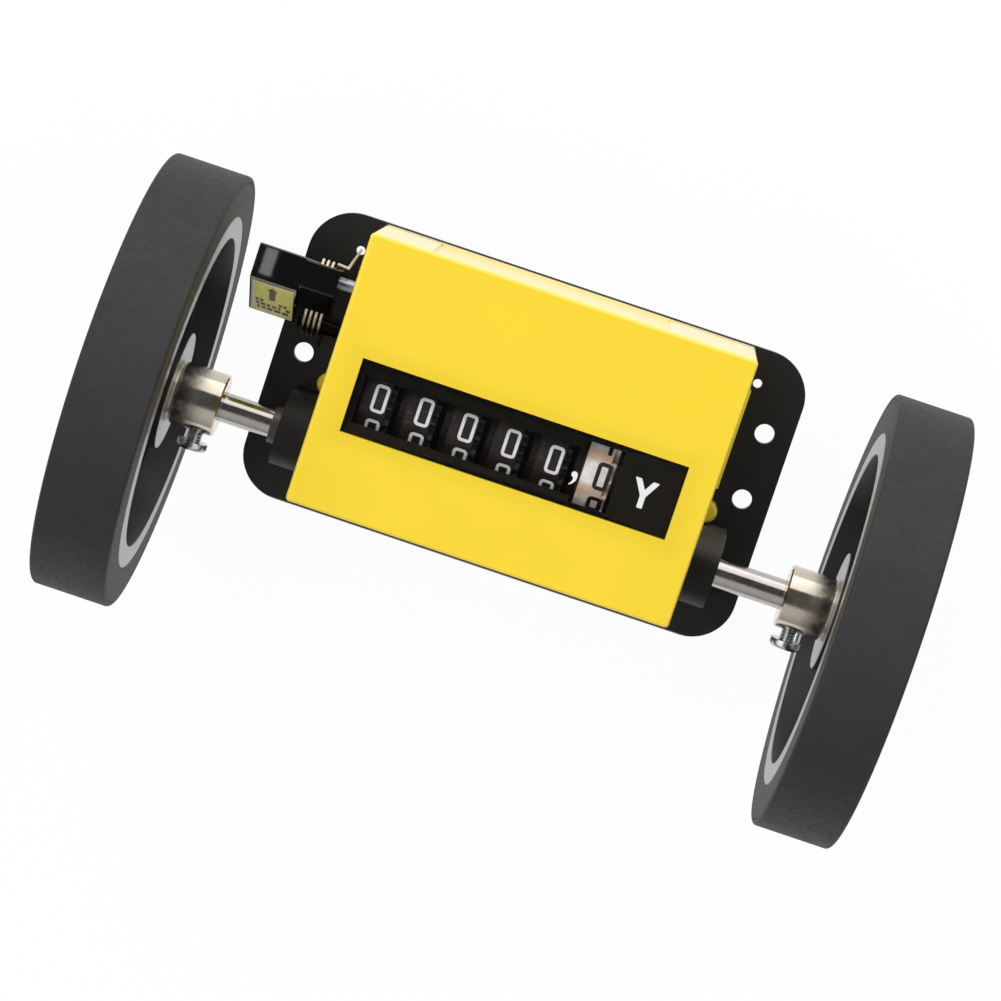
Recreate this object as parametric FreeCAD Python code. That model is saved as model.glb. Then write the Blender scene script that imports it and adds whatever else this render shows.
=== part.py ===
import FreeCAD, Part
import math
import os

# Cable length counter: two rubber-tyred wheels on one axle drive a six-drum
# counter that stands on a steel mounting plate under a moulded cover.
# Frame: origin at the centre of the mounting-hole pattern on the plate's
# underside, +X along the axle, +Y to the rear, +Z out of the plate.
# All sizes are in millimetres, and margins run from the hole pattern's centre.

# ---- mounting plate
plate_end_margin = 6.1          # beyond the outer mounting holes
plate_front_margin = 39.95
plate_rear_margin = 24.9
plate_rear_edge = 0.3           # plate beyond the cover's rear face
plate_thickness = 2.0
plate_corner_radius = 9.8
mount_spacing_x = 100.0
mount_spacing_y = 15.0
mount_hole_diameter = 4.3
anchor_hole_diameter = 2.0
anchor_hole_from_cover = 3.44   # small holes, one each side of the cover
anchor_hole_y = 17.32

# ---- axle and wheels
axle_y = -23.03
axle_above_plate = 9.8
axle_diameter = 6.5
axle_end_inset = 1.77           # axle's ends inside the wheels' outer faces
axle_end_chamfer = 0.4
track_middle_x = 1.08
wheel_lever_gap = 7.48          # between the reset lever and the left wheel
wheel_width = 16.83
tyre_diameter = 97.0
tyre_thickness = 8.85
tyre_edge_chamfer = 0.59
rim_thickness = 4.82
web_thickness = 3.94
wheel_boss_diameter = 25.98
wheel_boss_length = 14.17
recess_draft = 0.98             # the rim's inner wall narrows towards the web
collar_wall = 1.03
outer_collar_length = 1.87
inner_collar_length = 2.46

# ---- wheel hubs
hub_diameter = 13.8
hub_length = 10.1
hub_shoulder_diameter = 13.0
hub_shoulder_length = 0.4
hub_spigot_diameter = 9.4
hub_edge_chamfer = 0.35
set_screw_diameter = 3.44
set_screw_from_hub_end = 3.7
set_screw_stand_off = 2.15      # head's underside above the hub's surface
set_screw_head_diameter = 6.69
set_screw_head_height = 1.85
set_screw_head_radius = 0.83
set_screw_slot_width = 0.89
set_screw_slot_depth = 0.98

# ---- side frames, bearing blocks and bushes
frame_thickness = 2.5
frame_corner_cut = 4.92
frame_top_gap = 2.07            # below the cover's inside
frame_side_clearance = 0.2      # between a frame and the cover's wall
frame_end_clearance = 0.59      # between a frame and the front and rear walls
block_stand_out = 7.33          # beyond the cover's left face
block_width = 16.54
block_lip_length = 6.1          # lip along the block's front foot, from its outer end
block_lip_width = 0.5
block_lip_height = 0.8
bush_diameter = 9.2
foot_length = 6.89
foot_width = 7.87
foot_height = 2.95
foot_rear_y = 14.76
foot_front_y = -7.87
tie_bar_diameter = 4.0
top_rear_bar_inset = 7.87       # tie bars' axes from the cover's rear and front faces
top_rear_bar_drop = 8.96        # tie bars' axes from the cover's top
top_front_bar_inset = 6.59
top_front_bar_drop = 7.97
low_front_bar_inset = 5.12
low_front_bar_rise = 4.13       # above the plate

# ---- countersunk screws
frame_screw_diameter = 2.9
frame_screw_head_diameter = 5.4
frame_screw_length = 4.6
cover_screw_diameter = 2.2
cover_screw_head_diameter = 4.0
cover_screw_length = 4.9
countersink_depth = 1.3
screw_cross_width = 0.49
screw_cross_depth = 0.59
screw_cross_margin = 0.98       # from the cross's ends to the head's edge

# ---- cover
cover_front_margin = 11.05      # from the axle to the front face
cover_wall = 1.8
cover_edge_radius = 0.89
cover_top_edge_radius = 0.69
drum_top_gap = 2.26             # between the drums and the cover's inside
gear_top_gap = 1.48             # between the input gear and the cover's inside
rear_panel_left_margin = 13.0
rear_panel_right_margin = 19.4
rear_panel_end_margin = 2.36
rear_panel_depth = 0.45
side_pad_thickness = 0.89
side_pad_chamfer = 0.69
side_pad_width = 21.65
side_pad_rear_margin = 7.28
side_pad_height = 23.62
ear_radius = 2.5
ear_top_radius = 0.79
ear_stand_out = 0.85            # ear's centre beyond the wall's face
ear_height = 4.92
ear_neck_width = 3.94
ear_neck_step = 0.98            # neck's top below the ear's top
rear_boss_diameter = 5.91
rear_boss_inset = 4.92          # from the rear face
rear_boss_height = 9.84
rear_boss_rib = 1.97

# ---- window
window_left_margin = 6.4        # from the cover's left face
window_right_margin = 6.59      # from the cover's right face
window_height = 16.04
window_ledge = 0.98
window_ledge_thickness = 0.5
window_inset = 0.1              # pane's surface below the cover's top
pane_thickness = 1.0
mask_thickness = 0.4
mask_end_margin = 4.05          # opening's ends beyond the middles of the outer drums' figures
mask_tenths_margin = 4.2        # wider part's left end from the middle of the tenths figure
mask_front_reach = 5.6          # opening's edges from the drums' axis
mask_rear_reach = 4.6
mask_tenths_front_reach = 6.9
mask_tenths_rear_reach = 6.6

# ---- counter drums
drum_pitch = 9.6
units_drum_x = 8.86             # middle of the units figure
drum_diameter = 24.6
drum_above_axle = 8.17
drum_axis_behind_axle = 14.37
drum_wall = 1.28
drum_rim_lap = 0.64             # web and flange run this far into the rim
drum_rim_right = 1.97           # rim's right edge, from the figure's middle
drum_web_thickness = 1.18
drum_hub_diameter = 6.69
drum_end_play = 0.05
drum_face_gap = 0.25            # between one drum's teeth and the next drum's cam
drum_teeth = 20
drum_teeth_width = 1.18
drum_teeth_below_rim = 0.1      # tooth tips below the rim's surface
drum_teeth_ring_wall = 1.18
carry_disc_diameter = 18.5
carry_disc_thickness = 1.57
carry_tooth_height = 0.89
carry_tooth_root = 0.98         # tooth's base inside the disc's edge
carry_tooth_angle = 9.0         # degrees either side of the pair's middle
carry_tooth_base_angle = 3.0
carry_tooth_tip_angle = 1.8
cam_low_radius = 3.84
cam_high_radius = 6.3
cam_thickness = 0.98
cam_points = 24
drum_shaft_diameter = 4.0
drum_spacer_wall = 1.18
left_spacer_length = 1.13
right_spacer_length = 11.22

# ---- carry pinions
pinion_teeth = 8
transfer_addendum = 0.8         # in modules
transfer_dedendum = 1.0         # in modules
transfer_pressure_angle = 30.0
transfer_backlash = 0.25
pinion_plate_gap = 0.475        # between the pinions' teeth and the plate
pinion_shaft_diameter = 2.4
pinion_spacer_wall = 0.79
pinion_side_clearance = 0.15

# ---- drive gears
drive_pinion_teeth = 20
input_gear_teeth = 60
drive_pinion_width = 4.92
input_gear_width = 2.95
input_gear_hub_diameter = 9.84
input_gear_offset = 0.98        # hub on each side of the gear's teeth
drive_addendum = 0.9            # in modules
drive_dedendum = 1.25           # in modules
drive_pressure_angle = 20.0
drive_backlash = 0.12

# ---- reset lever, from the reset shaft's axis
reset_axis_behind_drums = 19.29
reset_axis_below_drums = 2.26
reset_shaft_diameter = 3.0
reset_travel = 22.0             # degrees
lever_cover_gap = 4.23
hinge_block_width = 7.78
grip_width = 10.33
lever_top = 6.89
lever_top_rear = 3.74
lever_top_front = -3.94
lever_foot = -10.83
lever_foot_front = -12.11
lever_foot_width = 2.36
lever_rear_foot = -6.89
lever_rear_foot_reach = 1.57
lever_wall = 1.48
lever_edge_radius = 0.45
hinge_block_step = 0.4          # hinge block's faces below the grip's faces
hinge_block_top_front = -2.56
hinge_block_foot_front = -7.58
hinge_block_foot = -2.95
hinge_block_wall = 1.18
lever_hub_diameter = 6.1
label_thickness = 0.25
label_margin = 0.45
label_end_margin = 0.89

# ---- reset comb
comb_hub_diameter = 5.31
comb_end_length = 1.57          # hub beyond the last finger
finger_cam_gap = 0.62           # between a finger's tip and the cam's highest point
finger_root_width = 3.94
finger_tip_width = 1.57

# ---- springs
front_spring_pin_y = -0.49
front_spring_pin_above_plate = 3.44
front_spring_pin_diameter = 3.0
front_spring_pin_gap = 0.59     # between the coil and its pin
front_spring_wire = 0.6
front_spring_pitch = 1.15
front_spring_turns = 4.0
front_spring_inset = 1.79       # coil's right end inside the lever's right face
front_spring_leg_reach = 4.92
spring_pin_overhang = 0.79
rear_spring_hub_gap = 0.4       # between the coil and the lever's hub
rear_spring_wire = 0.6
rear_spring_pitch = 1.08
rear_spring_turns = 3.75
rear_spring_leg_rise = 1.97
rear_spring_bearing_rise = 1.08
rear_spring_bearing_reach = 1.18

# ---- fits
running_clearance = 0.04
slide_clearance = 0.1
window_clearance = 0.05
slot_clearance = 0.49
block_clearance = 0.3
cut_overrun = 1.0               # cutting tools run this far past a face
edge_tolerance = 0.01           # for picking the edges that lie on a face

# ---- heights, and places along Y, from the sizes above
plate_top = plate_thickness
plate_rear_y = plate_rear_margin
plate_front_y = -plate_front_margin
plate_half_length = mount_spacing_x / 2 + plate_end_margin
axle_z = plate_top + axle_above_plate
axle_radius = axle_diameter / 2
bush_bore_radius = axle_radius + running_clearance
drum_radius = drum_diameter / 2
drum_y = axle_y + drum_axis_behind_axle
drum_z = axle_z + drum_above_axle
drive_distance = math.hypot(drum_axis_behind_axle, drum_above_axle)
drive_module = 2 * drive_distance / (drive_pinion_teeth + input_gear_teeth)
drive_angle = math.atan2(drum_above_axle, drum_axis_behind_axle)
input_gear_tip_radius = drive_module * (input_gear_teeth / 2 + drive_addendum)
transfer_module = (drum_radius - drum_teeth_below_rim) / (drum_teeth / 2 + transfer_addendum)
transfer_distance = transfer_module * (drum_teeth + pinion_teeth) / 2
pinion_tip_radius = transfer_module * (pinion_teeth / 2 + transfer_addendum)
pinion_z = plate_top + pinion_plate_gap + pinion_tip_radius
pinion_angle = -math.asin((drum_z - pinion_z) / transfer_distance)
pinion_y = drum_y + transfer_distance * math.cos(pinion_angle)
cover_rear_y = plate_rear_y - plate_rear_edge
cover_front_y = axle_y - cover_front_margin
cover_inside_top = drum_z + max(drum_radius + drum_top_gap, input_gear_tip_radius + gear_top_gap)
window_seat_z = cover_inside_top + window_ledge_thickness
pane_top_z = window_seat_z + mask_thickness + pane_thickness
cover_top_z = pane_top_z + window_inset
window_centre_y = drum_y
frame_top = cover_inside_top - frame_top_gap
ear_y = axle_y + block_width / 2 + block_clearance + ear_radius
rear_boss_y = cover_rear_y - rear_boss_inset
tie_bar_places = [(cover_rear_y - top_rear_bar_inset, cover_top_z - top_rear_bar_drop),
                  (cover_front_y + top_front_bar_inset, cover_top_z - top_front_bar_drop),
                  (cover_front_y + low_front_bar_inset, plate_top + low_front_bar_rise)]
reset_y = drum_y + reset_axis_behind_drums
reset_z = drum_z - reset_axis_below_drums
front_spring_pin_z = plate_top + front_spring_pin_above_plate
front_spring_radius = front_spring_pin_diameter / 2 + front_spring_pin_gap + front_spring_wire / 2
rear_spring_radius = lever_hub_diameter / 2 + rear_spring_hub_gap + rear_spring_wire / 2

# ---- places along X, outwards from the row of drums
drum_names = ["tenths", "units", "tens", "hundreds", "thousands", "ten_thousands"]
tenths_drum_x = units_drum_x + drum_pitch
drum_xs = [tenths_drum_x - drum_pitch * place for place in range(len(drum_names))]
carry_disc_right = (cam_thickness + drum_face_gap + drum_rim_right + drum_teeth_width
                    + carry_disc_thickness - drum_pitch)
carry_disc_left = carry_disc_right - carry_disc_thickness
drum_hub_right = drum_rim_right + drum_teeth_width + drum_end_play
drum_hub_left = drum_hub_right - drum_pitch + drum_end_play
finger_thickness = cam_thickness - 2 * slide_clearance
finger_middle = carry_disc_left - cam_thickness / 2 - slide_clearance
row_left_x = drum_xs[-1] + drum_hub_left - slide_clearance
input_gear_x = tenths_drum_x + drum_hub_right + input_gear_offset
row_right_x = input_gear_x + input_gear_width + input_gear_offset + slide_clearance
left_frame_inner_x = row_left_x - left_spacer_length
right_frame_inner_x = row_right_x + right_spacer_length
left_frame_outer_x = left_frame_inner_x - frame_thickness
right_frame_outer_x = right_frame_inner_x + frame_thickness
cover_left_x = left_frame_outer_x - frame_side_clearance - cover_wall
cover_right_x = right_frame_outer_x + frame_side_clearance + cover_wall
cover_centre_x = (cover_left_x + cover_right_x) / 2
window_left_x = cover_left_x + window_left_margin
window_right_x = cover_right_x - window_right_margin
block_outer_x = block_stand_out - cover_left_x
anchor_hole_x = anchor_hole_from_cover - cover_left_x
lever_right_x = cover_left_x - lever_cover_gap
lever_split_x = lever_right_x - hinge_block_width
lever_left_x = lever_split_x - grip_width
wheel_inner_face = track_middle_x - lever_left_x + wheel_lever_gap
axle_half_length = wheel_inner_face + wheel_width - axle_end_inset


# ---- shape helpers
def box(x0, x1, y0, y1, z0, z1):
    return Part.makeBox(x1 - x0, y1 - y0, z1 - z0, FreeCAD.Vector(x0, y0, z0))


def rod_x(x0, x1, y, z, radius):
    return Part.makeCylinder(radius, x1 - x0, FreeCAD.Vector(x0, y, z), FreeCAD.Vector(1, 0, 0))


def through_x(x0, x1, y, z, radius):
    """A cutting rod that runs past both ends."""
    return rod_x(x0 - cut_overrun, x1 + cut_overrun, y, z, radius)


def tube_x(x0, x1, y, z, outer_radius, inner_radius):
    return rod_x(x0, x1, y, z, outer_radius).cut(through_x(x0, x1, y, z, inner_radius))


def rod_z(x, y, z0, z1, radius):
    return Part.makeCylinder(radius, z1 - z0, FreeCAD.Vector(x, y, z0))


def prism_x(points, x0, x1):
    """A closed outline of (y, z) points carried from x0 to x1."""
    corners = [FreeCAD.Vector(x0, y, z) for y, z in points]
    face = Part.Face(Part.makePolygon(corners + corners[:1]))
    return face.extrude(FreeCAD.Vector(x1 - x0, 0, 0))


def joined(shapes):
    whole = shapes[0]
    if len(shapes) > 1:
        whole = whole.multiFuse(shapes[1:])
    return whole.removeSplitter()


def turned(profile):
    """A wheel-like solid about X from (x, radius) points; the axis is closed in."""
    corners = [FreeCAD.Vector(x, 0, radius) for x, radius in profile]
    face = Part.Face(Part.makePolygon(corners + corners[:1]))
    return face.revolve(FreeCAD.Vector(0, 0, 0), FreeCAD.Vector(1, 0, 0), 360)


def moved(shape, x, y, z):
    shape = shape.copy()
    shape.translate(FreeCAD.Vector(x, y, z))
    return shape


def mirrored_on_track(shape):
    return shape.mirror(FreeCAD.Vector(track_middle_x, 0, 0), FreeCAD.Vector(1, 0, 0))


def edges_along(shape, axis, wanted):
    """The straight edges along an axis (0 x, 1 y, 2 z) whose middle passes a test."""
    chosen = []
    for edge in shape.Edges:
        if not isinstance(edge.Curve, Part.Line):
            continue
        ends = [vertex.Point for vertex in edge.Vertexes]
        run = ends[1] - ends[0]
        if abs(run[axis]) < 0.999 * run.Length:
            continue
        if wanted((ends[0] + ends[1]) * 0.5):
            chosen.append(edge)
    return chosen


def edges_above(shape, z):
    return [edge for edge in shape.Edges if edge.BoundBox.ZMin > z - edge_tolerance]


def involute(angle):
    return math.tan(angle) - angle


def gear_outline(teeth, module, addendum, dedendum, pressure_angle, backlash, phase, steps=4):
    """(y, z) points of a spur gear about the origin, one tooth centred on phase."""
    pitch_radius = module * teeth / 2
    base_radius = pitch_radius * math.cos(math.radians(pressure_angle))
    tip_radius = pitch_radius + addendum * module
    root_radius = pitch_radius - dedendum * module
    pitch_half = math.pi / (2 * teeth) - backlash / (2 * pitch_radius)
    base_half = pitch_half + involute(math.radians(pressure_angle))
    start_radius = max(base_radius, root_radius)
    flank = [(root_radius, base_half)] if root_radius < base_radius else []
    for step in range(steps + 1):
        radius = start_radius + (tip_radius - start_radius) * step / steps
        roll = math.acos(min(1.0, base_radius / radius))
        flank.append((radius, base_half - involute(roll)))
    points = []
    for tooth in range(teeth):
        middle = phase + 2 * math.pi * tooth / teeth
        rising = [(radius, middle - half) for radius, half in flank]
        falling = [(radius, middle + half) for radius, half in reversed(flank)]
        points += [(r * math.cos(a), r * math.sin(a)) for r, a in rising + falling]
    return points


def gear_x(outline, x0, x1, y, z):
    return prism_x([(y + dy, z + dz) for dy, dz in outline], x0, x1)


def plate_hole(x, y, diameter):
    return rod_z(x, y, -cut_overrun, plate_top + cut_overrun, diameter / 2)


def screw_hole(x, y, length, diameter):
    """A blind hole above the plate for a screw that comes through it."""
    return rod_z(x, y, plate_top - cut_overrun, length, diameter / 2)


def countersunk(x, y, hole_diameter, head_diameter):
    """A countersunk through hole cut from the plate's underside."""
    sink = Part.makeCone(head_diameter / 2, hole_diameter / 2, countersink_depth, FreeCAD.Vector(x, y, 0))
    return plate_hole(x, y, hole_diameter).fuse(sink)


def countersunk_screw(x, y, diameter, head_diameter, length):
    shank = rod_z(x, y, countersink_depth, length, diameter / 2)
    head = Part.makeCone(head_diameter / 2, diameter / 2, countersink_depth, FreeCAD.Vector(x, y, 0))
    long_half, short_half = head_diameter / 2 - screw_cross_margin, screw_cross_width / 2
    screw = shank.fuse(head)
    for across, along in ((long_half, short_half), (short_half, long_half)):
        screw = screw.cut(box(x - across, x + across, y - along, y + along, -cut_overrun, screw_cross_depth))
    return screw


def frame_screw_places():
    left_x = left_frame_inner_x + foot_length / 2
    right_x = right_frame_inner_x - foot_length / 2
    return [(x, y) for x in (left_x, right_x) for y in (foot_front_y, foot_rear_y)]


def cover_screw_places():
    left_x = cover_left_x - ear_stand_out
    right_x = cover_right_x + ear_stand_out
    return [(left_x, ear_y), (right_x, ear_y), (cover_centre_x, rear_boss_y)]


# ---- plate, frames and what fastens them
def base_plate():
    half = plate_half_length
    plate = box(-half, half, plate_front_y, plate_rear_y, 0, plate_thickness)
    plate = plate.makeFillet(plate_corner_radius, edges_along(plate, 2, lambda middle: True))
    cuts = []
    for side in (-1, 1):
        x = side * mount_spacing_x / 2
        cuts += [plate_hole(x, y, mount_hole_diameter) for y in (-mount_spacing_y / 2, mount_spacing_y / 2)]
        cuts.append(plate_hole(side * anchor_hole_x, anchor_hole_y, anchor_hole_diameter))
    for x, y in frame_screw_places():
        cuts.append(countersunk(x, y, frame_screw_diameter, frame_screw_head_diameter))
    for x, y in cover_screw_places():
        cuts.append(countersunk(x, y, cover_screw_diameter, cover_screw_head_diameter))
    return plate.cut(joined(cuts))


def frame_screws():
    size = (frame_screw_diameter, frame_screw_head_diameter, frame_screw_length)
    return Part.makeCompound([countersunk_screw(x, y, *size) for x, y in frame_screw_places()])


def cover_screws():
    size = (cover_screw_diameter, cover_screw_head_diameter, cover_screw_length)
    return Part.makeCompound([countersunk_screw(x, y, *size) for x, y in cover_screw_places()])


def frame_wall(x0, x1):
    y0 = cover_front_y + cover_wall + frame_end_clearance
    y1 = cover_rear_y - cover_wall - frame_end_clearance
    top, cut = frame_top, frame_corner_cut
    outline = [(y0, plate_top), (y1, plate_top), (y1, top - cut),
               (y1 - cut, top), (y0 + cut, top), (y0, top - cut)]
    return prism_x(outline, x0, x1)


def bearing_block(x0, x1):
    """Round-topped pillow block outside the cover, with a low lip along its front foot."""
    half = block_width / 2
    foot = box(x0, x1, axle_y - half, axle_y + half, plate_top, axle_z)
    arch = rod_x(x0, x1, axle_y, axle_z, half).common(
        box(x0, x1, axle_y - half, axle_y + half, axle_z, axle_z + half))
    outer = max(x0, x1, key=abs)
    lip_x0, lip_x1 = sorted((outer, outer - math.copysign(block_lip_length, outer)))
    lip = box(lip_x0, lip_x1, axle_y - half - block_lip_width, axle_y,
              plate_top, plate_top + block_lip_height)
    return joined([foot, arch, lip])


def side_frame(inner_x, outer_x, block_x):
    x0, x1 = sorted((inner_x, outer_x))
    inward = 1 if inner_x > outer_x else -1
    solids = [frame_wall(x0, x1), bearing_block(*sorted((outer_x, block_x)))]
    for foot_y in (foot_front_y, foot_rear_y):
        foot_x0, foot_x1 = sorted((inner_x, inner_x + inward * foot_length))
        foot_y0, foot_y1 = foot_y - foot_width / 2, foot_y + foot_width / 2
        solids.append(box(foot_x0, foot_x1, foot_y0, foot_y1, plate_top, plate_top + foot_height))
    bores = [(axle_y, axle_z, bush_diameter / 2), (drum_y, drum_z, drum_shaft_diameter / 2),
             (pinion_y, pinion_z, pinion_shaft_diameter / 2),
             (reset_y, reset_z, reset_shaft_diameter / 2 + running_clearance)]
    bores += [(y, z, tie_bar_diameter / 2) for y, z in tie_bar_places]
    cuts = [through_x(min(x0, block_x), max(x1, block_x), *bore) for bore in bores]
    cuts += [screw_hole(x, y, frame_screw_length, frame_screw_diameter) for x, y in frame_screw_places()]
    return joined(solids).cut(joined(cuts))


def left_frame():
    frame = side_frame(left_frame_inner_x, left_frame_outer_x, -block_outer_x)
    pin = (front_spring_pin_y, front_spring_pin_z, front_spring_pin_diameter / 2)
    return frame.cut(through_x(left_frame_outer_x, left_frame_inner_x, *pin))


def right_frame():
    return side_frame(right_frame_inner_x, right_frame_outer_x, block_outer_x)


def left_bush():
    return tube_x(-block_outer_x, left_frame_inner_x, axle_y, axle_z, bush_diameter / 2, bush_bore_radius)


def right_bush():
    return tube_x(right_frame_inner_x, block_outer_x, axle_y, axle_z, bush_diameter / 2, bush_bore_radius)


def tie_bars():
    span = (left_frame_outer_x, right_frame_outer_x)
    return Part.makeCompound([rod_x(*span, y, z, tie_bar_diameter / 2) for y, z in tie_bar_places])


def drum_shaft():
    return rod_x(left_frame_outer_x, right_frame_outer_x, drum_y, drum_z, drum_shaft_diameter / 2)


def pinion_shaft():
    return rod_x(left_frame_outer_x, right_frame_outer_x, pinion_y, pinion_z, pinion_shaft_diameter / 2)


def drum_spacers():
    """Sleeves that keep the row of drums in place on its shaft."""
    ends = [(left_frame_inner_x, row_left_x), (row_right_x, right_frame_inner_x)]
    bore = drum_shaft_diameter / 2
    outer = bore + drum_spacer_wall
    return Part.makeCompound([tube_x(x0, x1, drum_y, drum_z, outer, bore) for x0, x1 in ends])


# ---- cover and window
def cover():
    x0, x1, wall = cover_left_x, cover_right_x, cover_wall
    shell = box(x0, x1, cover_front_y, cover_rear_y, plate_top, cover_top_z)
    shell = shell.makeFillet(cover_edge_radius, edges_along(shell, 2, lambda middle: True))
    shell = shell.makeFillet(cover_top_edge_radius, edges_above(shell, cover_top_z))
    inside = box(x0 + wall, x1 - wall, cover_front_y + wall, cover_rear_y - wall,
                 plate_top - cut_overrun, cover_inside_top)
    solids = [shell.cut(inside), side_pad()]
    solids += cover_ear(x0 - ear_stand_out, x0 + wall / 2)
    solids += cover_ear(x1 + ear_stand_out, x1 - wall / 2)
    solids += rear_boss()
    body = joined(solids)
    cuts = [window_cut(), rear_panel_cut()]
    cuts += [screw_hole(x, y, cover_screw_length, cover_screw_diameter) for x, y in cover_screw_places()]
    cuts += [block_cut(x0 - ear_stand_out, x0 + wall), block_cut(x1 - wall, x1 + ear_stand_out)]
    cuts.append(shaft_slot(reset_y, reset_z, reset_shaft_diameter))
    cuts.append(shaft_slot(front_spring_pin_y, front_spring_pin_z, front_spring_pin_diameter))
    for cut in cuts:
        body = body.cut(cut)
    return body


def side_pad():
    """A raised pad low on the right wall."""
    wall_x = cover_right_x
    rear_y = cover_rear_y - side_pad_rear_margin
    top = plate_top + side_pad_height
    pad = box(wall_x - cover_wall / 2, wall_x + side_pad_thickness, rear_y - side_pad_width, rear_y,
              plate_top, top)
    outer_top = edges_along(pad, 1, lambda middle: middle.x > wall_x and middle.z > top - edge_tolerance)
    return pad.makeChamfer(side_pad_chamfer, outer_top)


def cover_ear(x, wall_x):
    """A round ear beside the wall, and the neck that joins them."""
    top, half = plate_top + ear_height, ear_neck_width / 2
    ear = rod_z(x, ear_y, plate_top, top, ear_radius)
    ear = ear.makeFillet(ear_top_radius, edges_above(ear, top))
    x0, x1 = sorted((x, wall_x))
    return [ear, box(x0, x1, ear_y - half, ear_y + half, plate_top, top - ear_neck_step)]


def rear_boss():
    """A screw boss inside the rear wall, and its rib."""
    top, half = plate_top + rear_boss_height, rear_boss_rib / 2
    boss = rod_z(cover_centre_x, rear_boss_y, plate_top, top, rear_boss_diameter / 2)
    wall_y = cover_rear_y - cover_wall / 2
    return [boss, box(cover_centre_x - half, cover_centre_x + half, rear_boss_y, wall_y, plate_top, top)]


def window_box(inset, z0, z1):
    """A block as large as the window's rebate, less an inset all round."""
    half_y = window_height / 2 - inset
    return box(window_left_x + inset, window_right_x - inset,
               window_centre_y - half_y, window_centre_y + half_y, z0, z1)


def window_cut():
    """A rebate for the pane and mask, with a narrower opening below its ledge."""
    rebate = window_box(0, window_seat_z, cover_top_z + cut_overrun)
    opening = window_box(window_ledge, cover_inside_top - cut_overrun, cover_top_z + cut_overrun)
    return rebate.fuse(opening)


def rear_panel_cut():
    z0, z1 = plate_top + rear_panel_end_margin, cover_top_z - rear_panel_end_margin
    return box(cover_left_x + rear_panel_left_margin, cover_right_x - rear_panel_right_margin,
               cover_rear_y - rear_panel_depth, cover_rear_y + cut_overrun, z0, z1)


def block_cut(x0, x1):
    """A round-topped gateway in a side wall over the bearing block."""
    half = block_width / 2 + block_clearance
    gateway = box(x0 - cut_overrun, x1 + cut_overrun, axle_y - half, axle_y + half,
                  plate_top - cut_overrun, axle_z)
    return gateway.fuse(through_x(x0, x1, axle_y, axle_z, half))


def shaft_slot(y, z, diameter):
    """A slot in the left wall, open at the bottom, over a shaft or pin."""
    half = diameter / 2 + slot_clearance
    x0, x1 = cover_left_x, cover_left_x + cover_wall
    slot = box(x0 - cut_overrun, x1 + cut_overrun, y - half, y + half, plate_top - cut_overrun, z)
    return slot.fuse(through_x(x0, x1, y, z, half))


def window_mask():
    """Printed mask behind the pane, open over the drums and more widely over the tenths drum."""
    mask_top = window_seat_z + mask_thickness
    z0, z1 = window_seat_z - cut_overrun, mask_top + cut_overrun
    left_x, right_x = drum_xs[-1] - mask_end_margin, drum_xs[0] + mask_end_margin
    tenths_x = drum_xs[0] - mask_tenths_margin
    opening = box(left_x, right_x, drum_y - mask_front_reach, drum_y + mask_rear_reach, z0, z1)
    tenths_opening = box(tenths_x, right_x, drum_y - mask_tenths_front_reach,
                         drum_y + mask_tenths_rear_reach, z0, z1)
    mask = window_box(window_clearance, window_seat_z, mask_top)
    return mask.cut(opening.fuse(tenths_opening))


def window_pane():
    return window_box(window_clearance, window_seat_z + mask_thickness, pane_top_z)


# ---- axle and wheels, made for the right side and mirrored to the left
def axle_rod():
    half = axle_half_length
    return rod_x(track_middle_x - half, track_middle_x + half, axle_y, axle_z, axle_radius)


def axle():
    shaft = axle_rod()
    ends = [edge for edge in shaft.Edges if isinstance(edge.Curve, Part.Circle)]
    return shaft.makeChamfer(axle_end_chamfer, ends)


def right_tyre():
    inner = tyre_diameter / 2 - tyre_thickness
    outer = tyre_diameter / 2
    x0, x1 = wheel_inner_face, wheel_inner_face + wheel_width
    chamfer = tyre_edge_chamfer
    profile = [(x0, inner), (x0, outer - chamfer), (x0 + chamfer, outer)]
    profile += [(x1 - chamfer, outer), (x1, outer - chamfer), (x1, inner)]
    return moved(turned(profile), track_middle_x, axle_y, axle_z)


def right_wheel():
    rim_outer = tyre_diameter / 2 - tyre_thickness
    rim_inner = rim_outer - rim_thickness
    web_inner = rim_inner - recess_draft
    boss, bore = wheel_boss_diameter / 2, hub_spigot_diameter / 2
    x0, x1 = wheel_inner_face, wheel_inner_face + wheel_width
    middle = (x0 + x1) / 2
    web0, web1 = middle - web_thickness / 2, middle + web_thickness / 2
    boss0, boss1 = middle - wheel_boss_length / 2, middle + wheel_boss_length / 2
    profile = [(x0, rim_inner), (x0, rim_outer), (x1, rim_outer), (x1, rim_inner)]
    profile += [(web1, web_inner), (web1, boss), (boss1, boss), (boss1, bore)]
    profile += [(boss0, bore), (boss0, boss), (web0, boss), (web0, web_inner)]
    return moved(turned(profile), track_middle_x, axle_y, axle_z)


def hub_inner_end():
    """The hub's end that faces the counter, from the middle of the track."""
    boss0 = wheel_inner_face + (wheel_width - wheel_boss_length) / 2
    return boss0 - hub_shoulder_length - hub_length


def set_screw_x():
    return track_middle_x + hub_inner_end() + set_screw_from_hub_end


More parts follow.
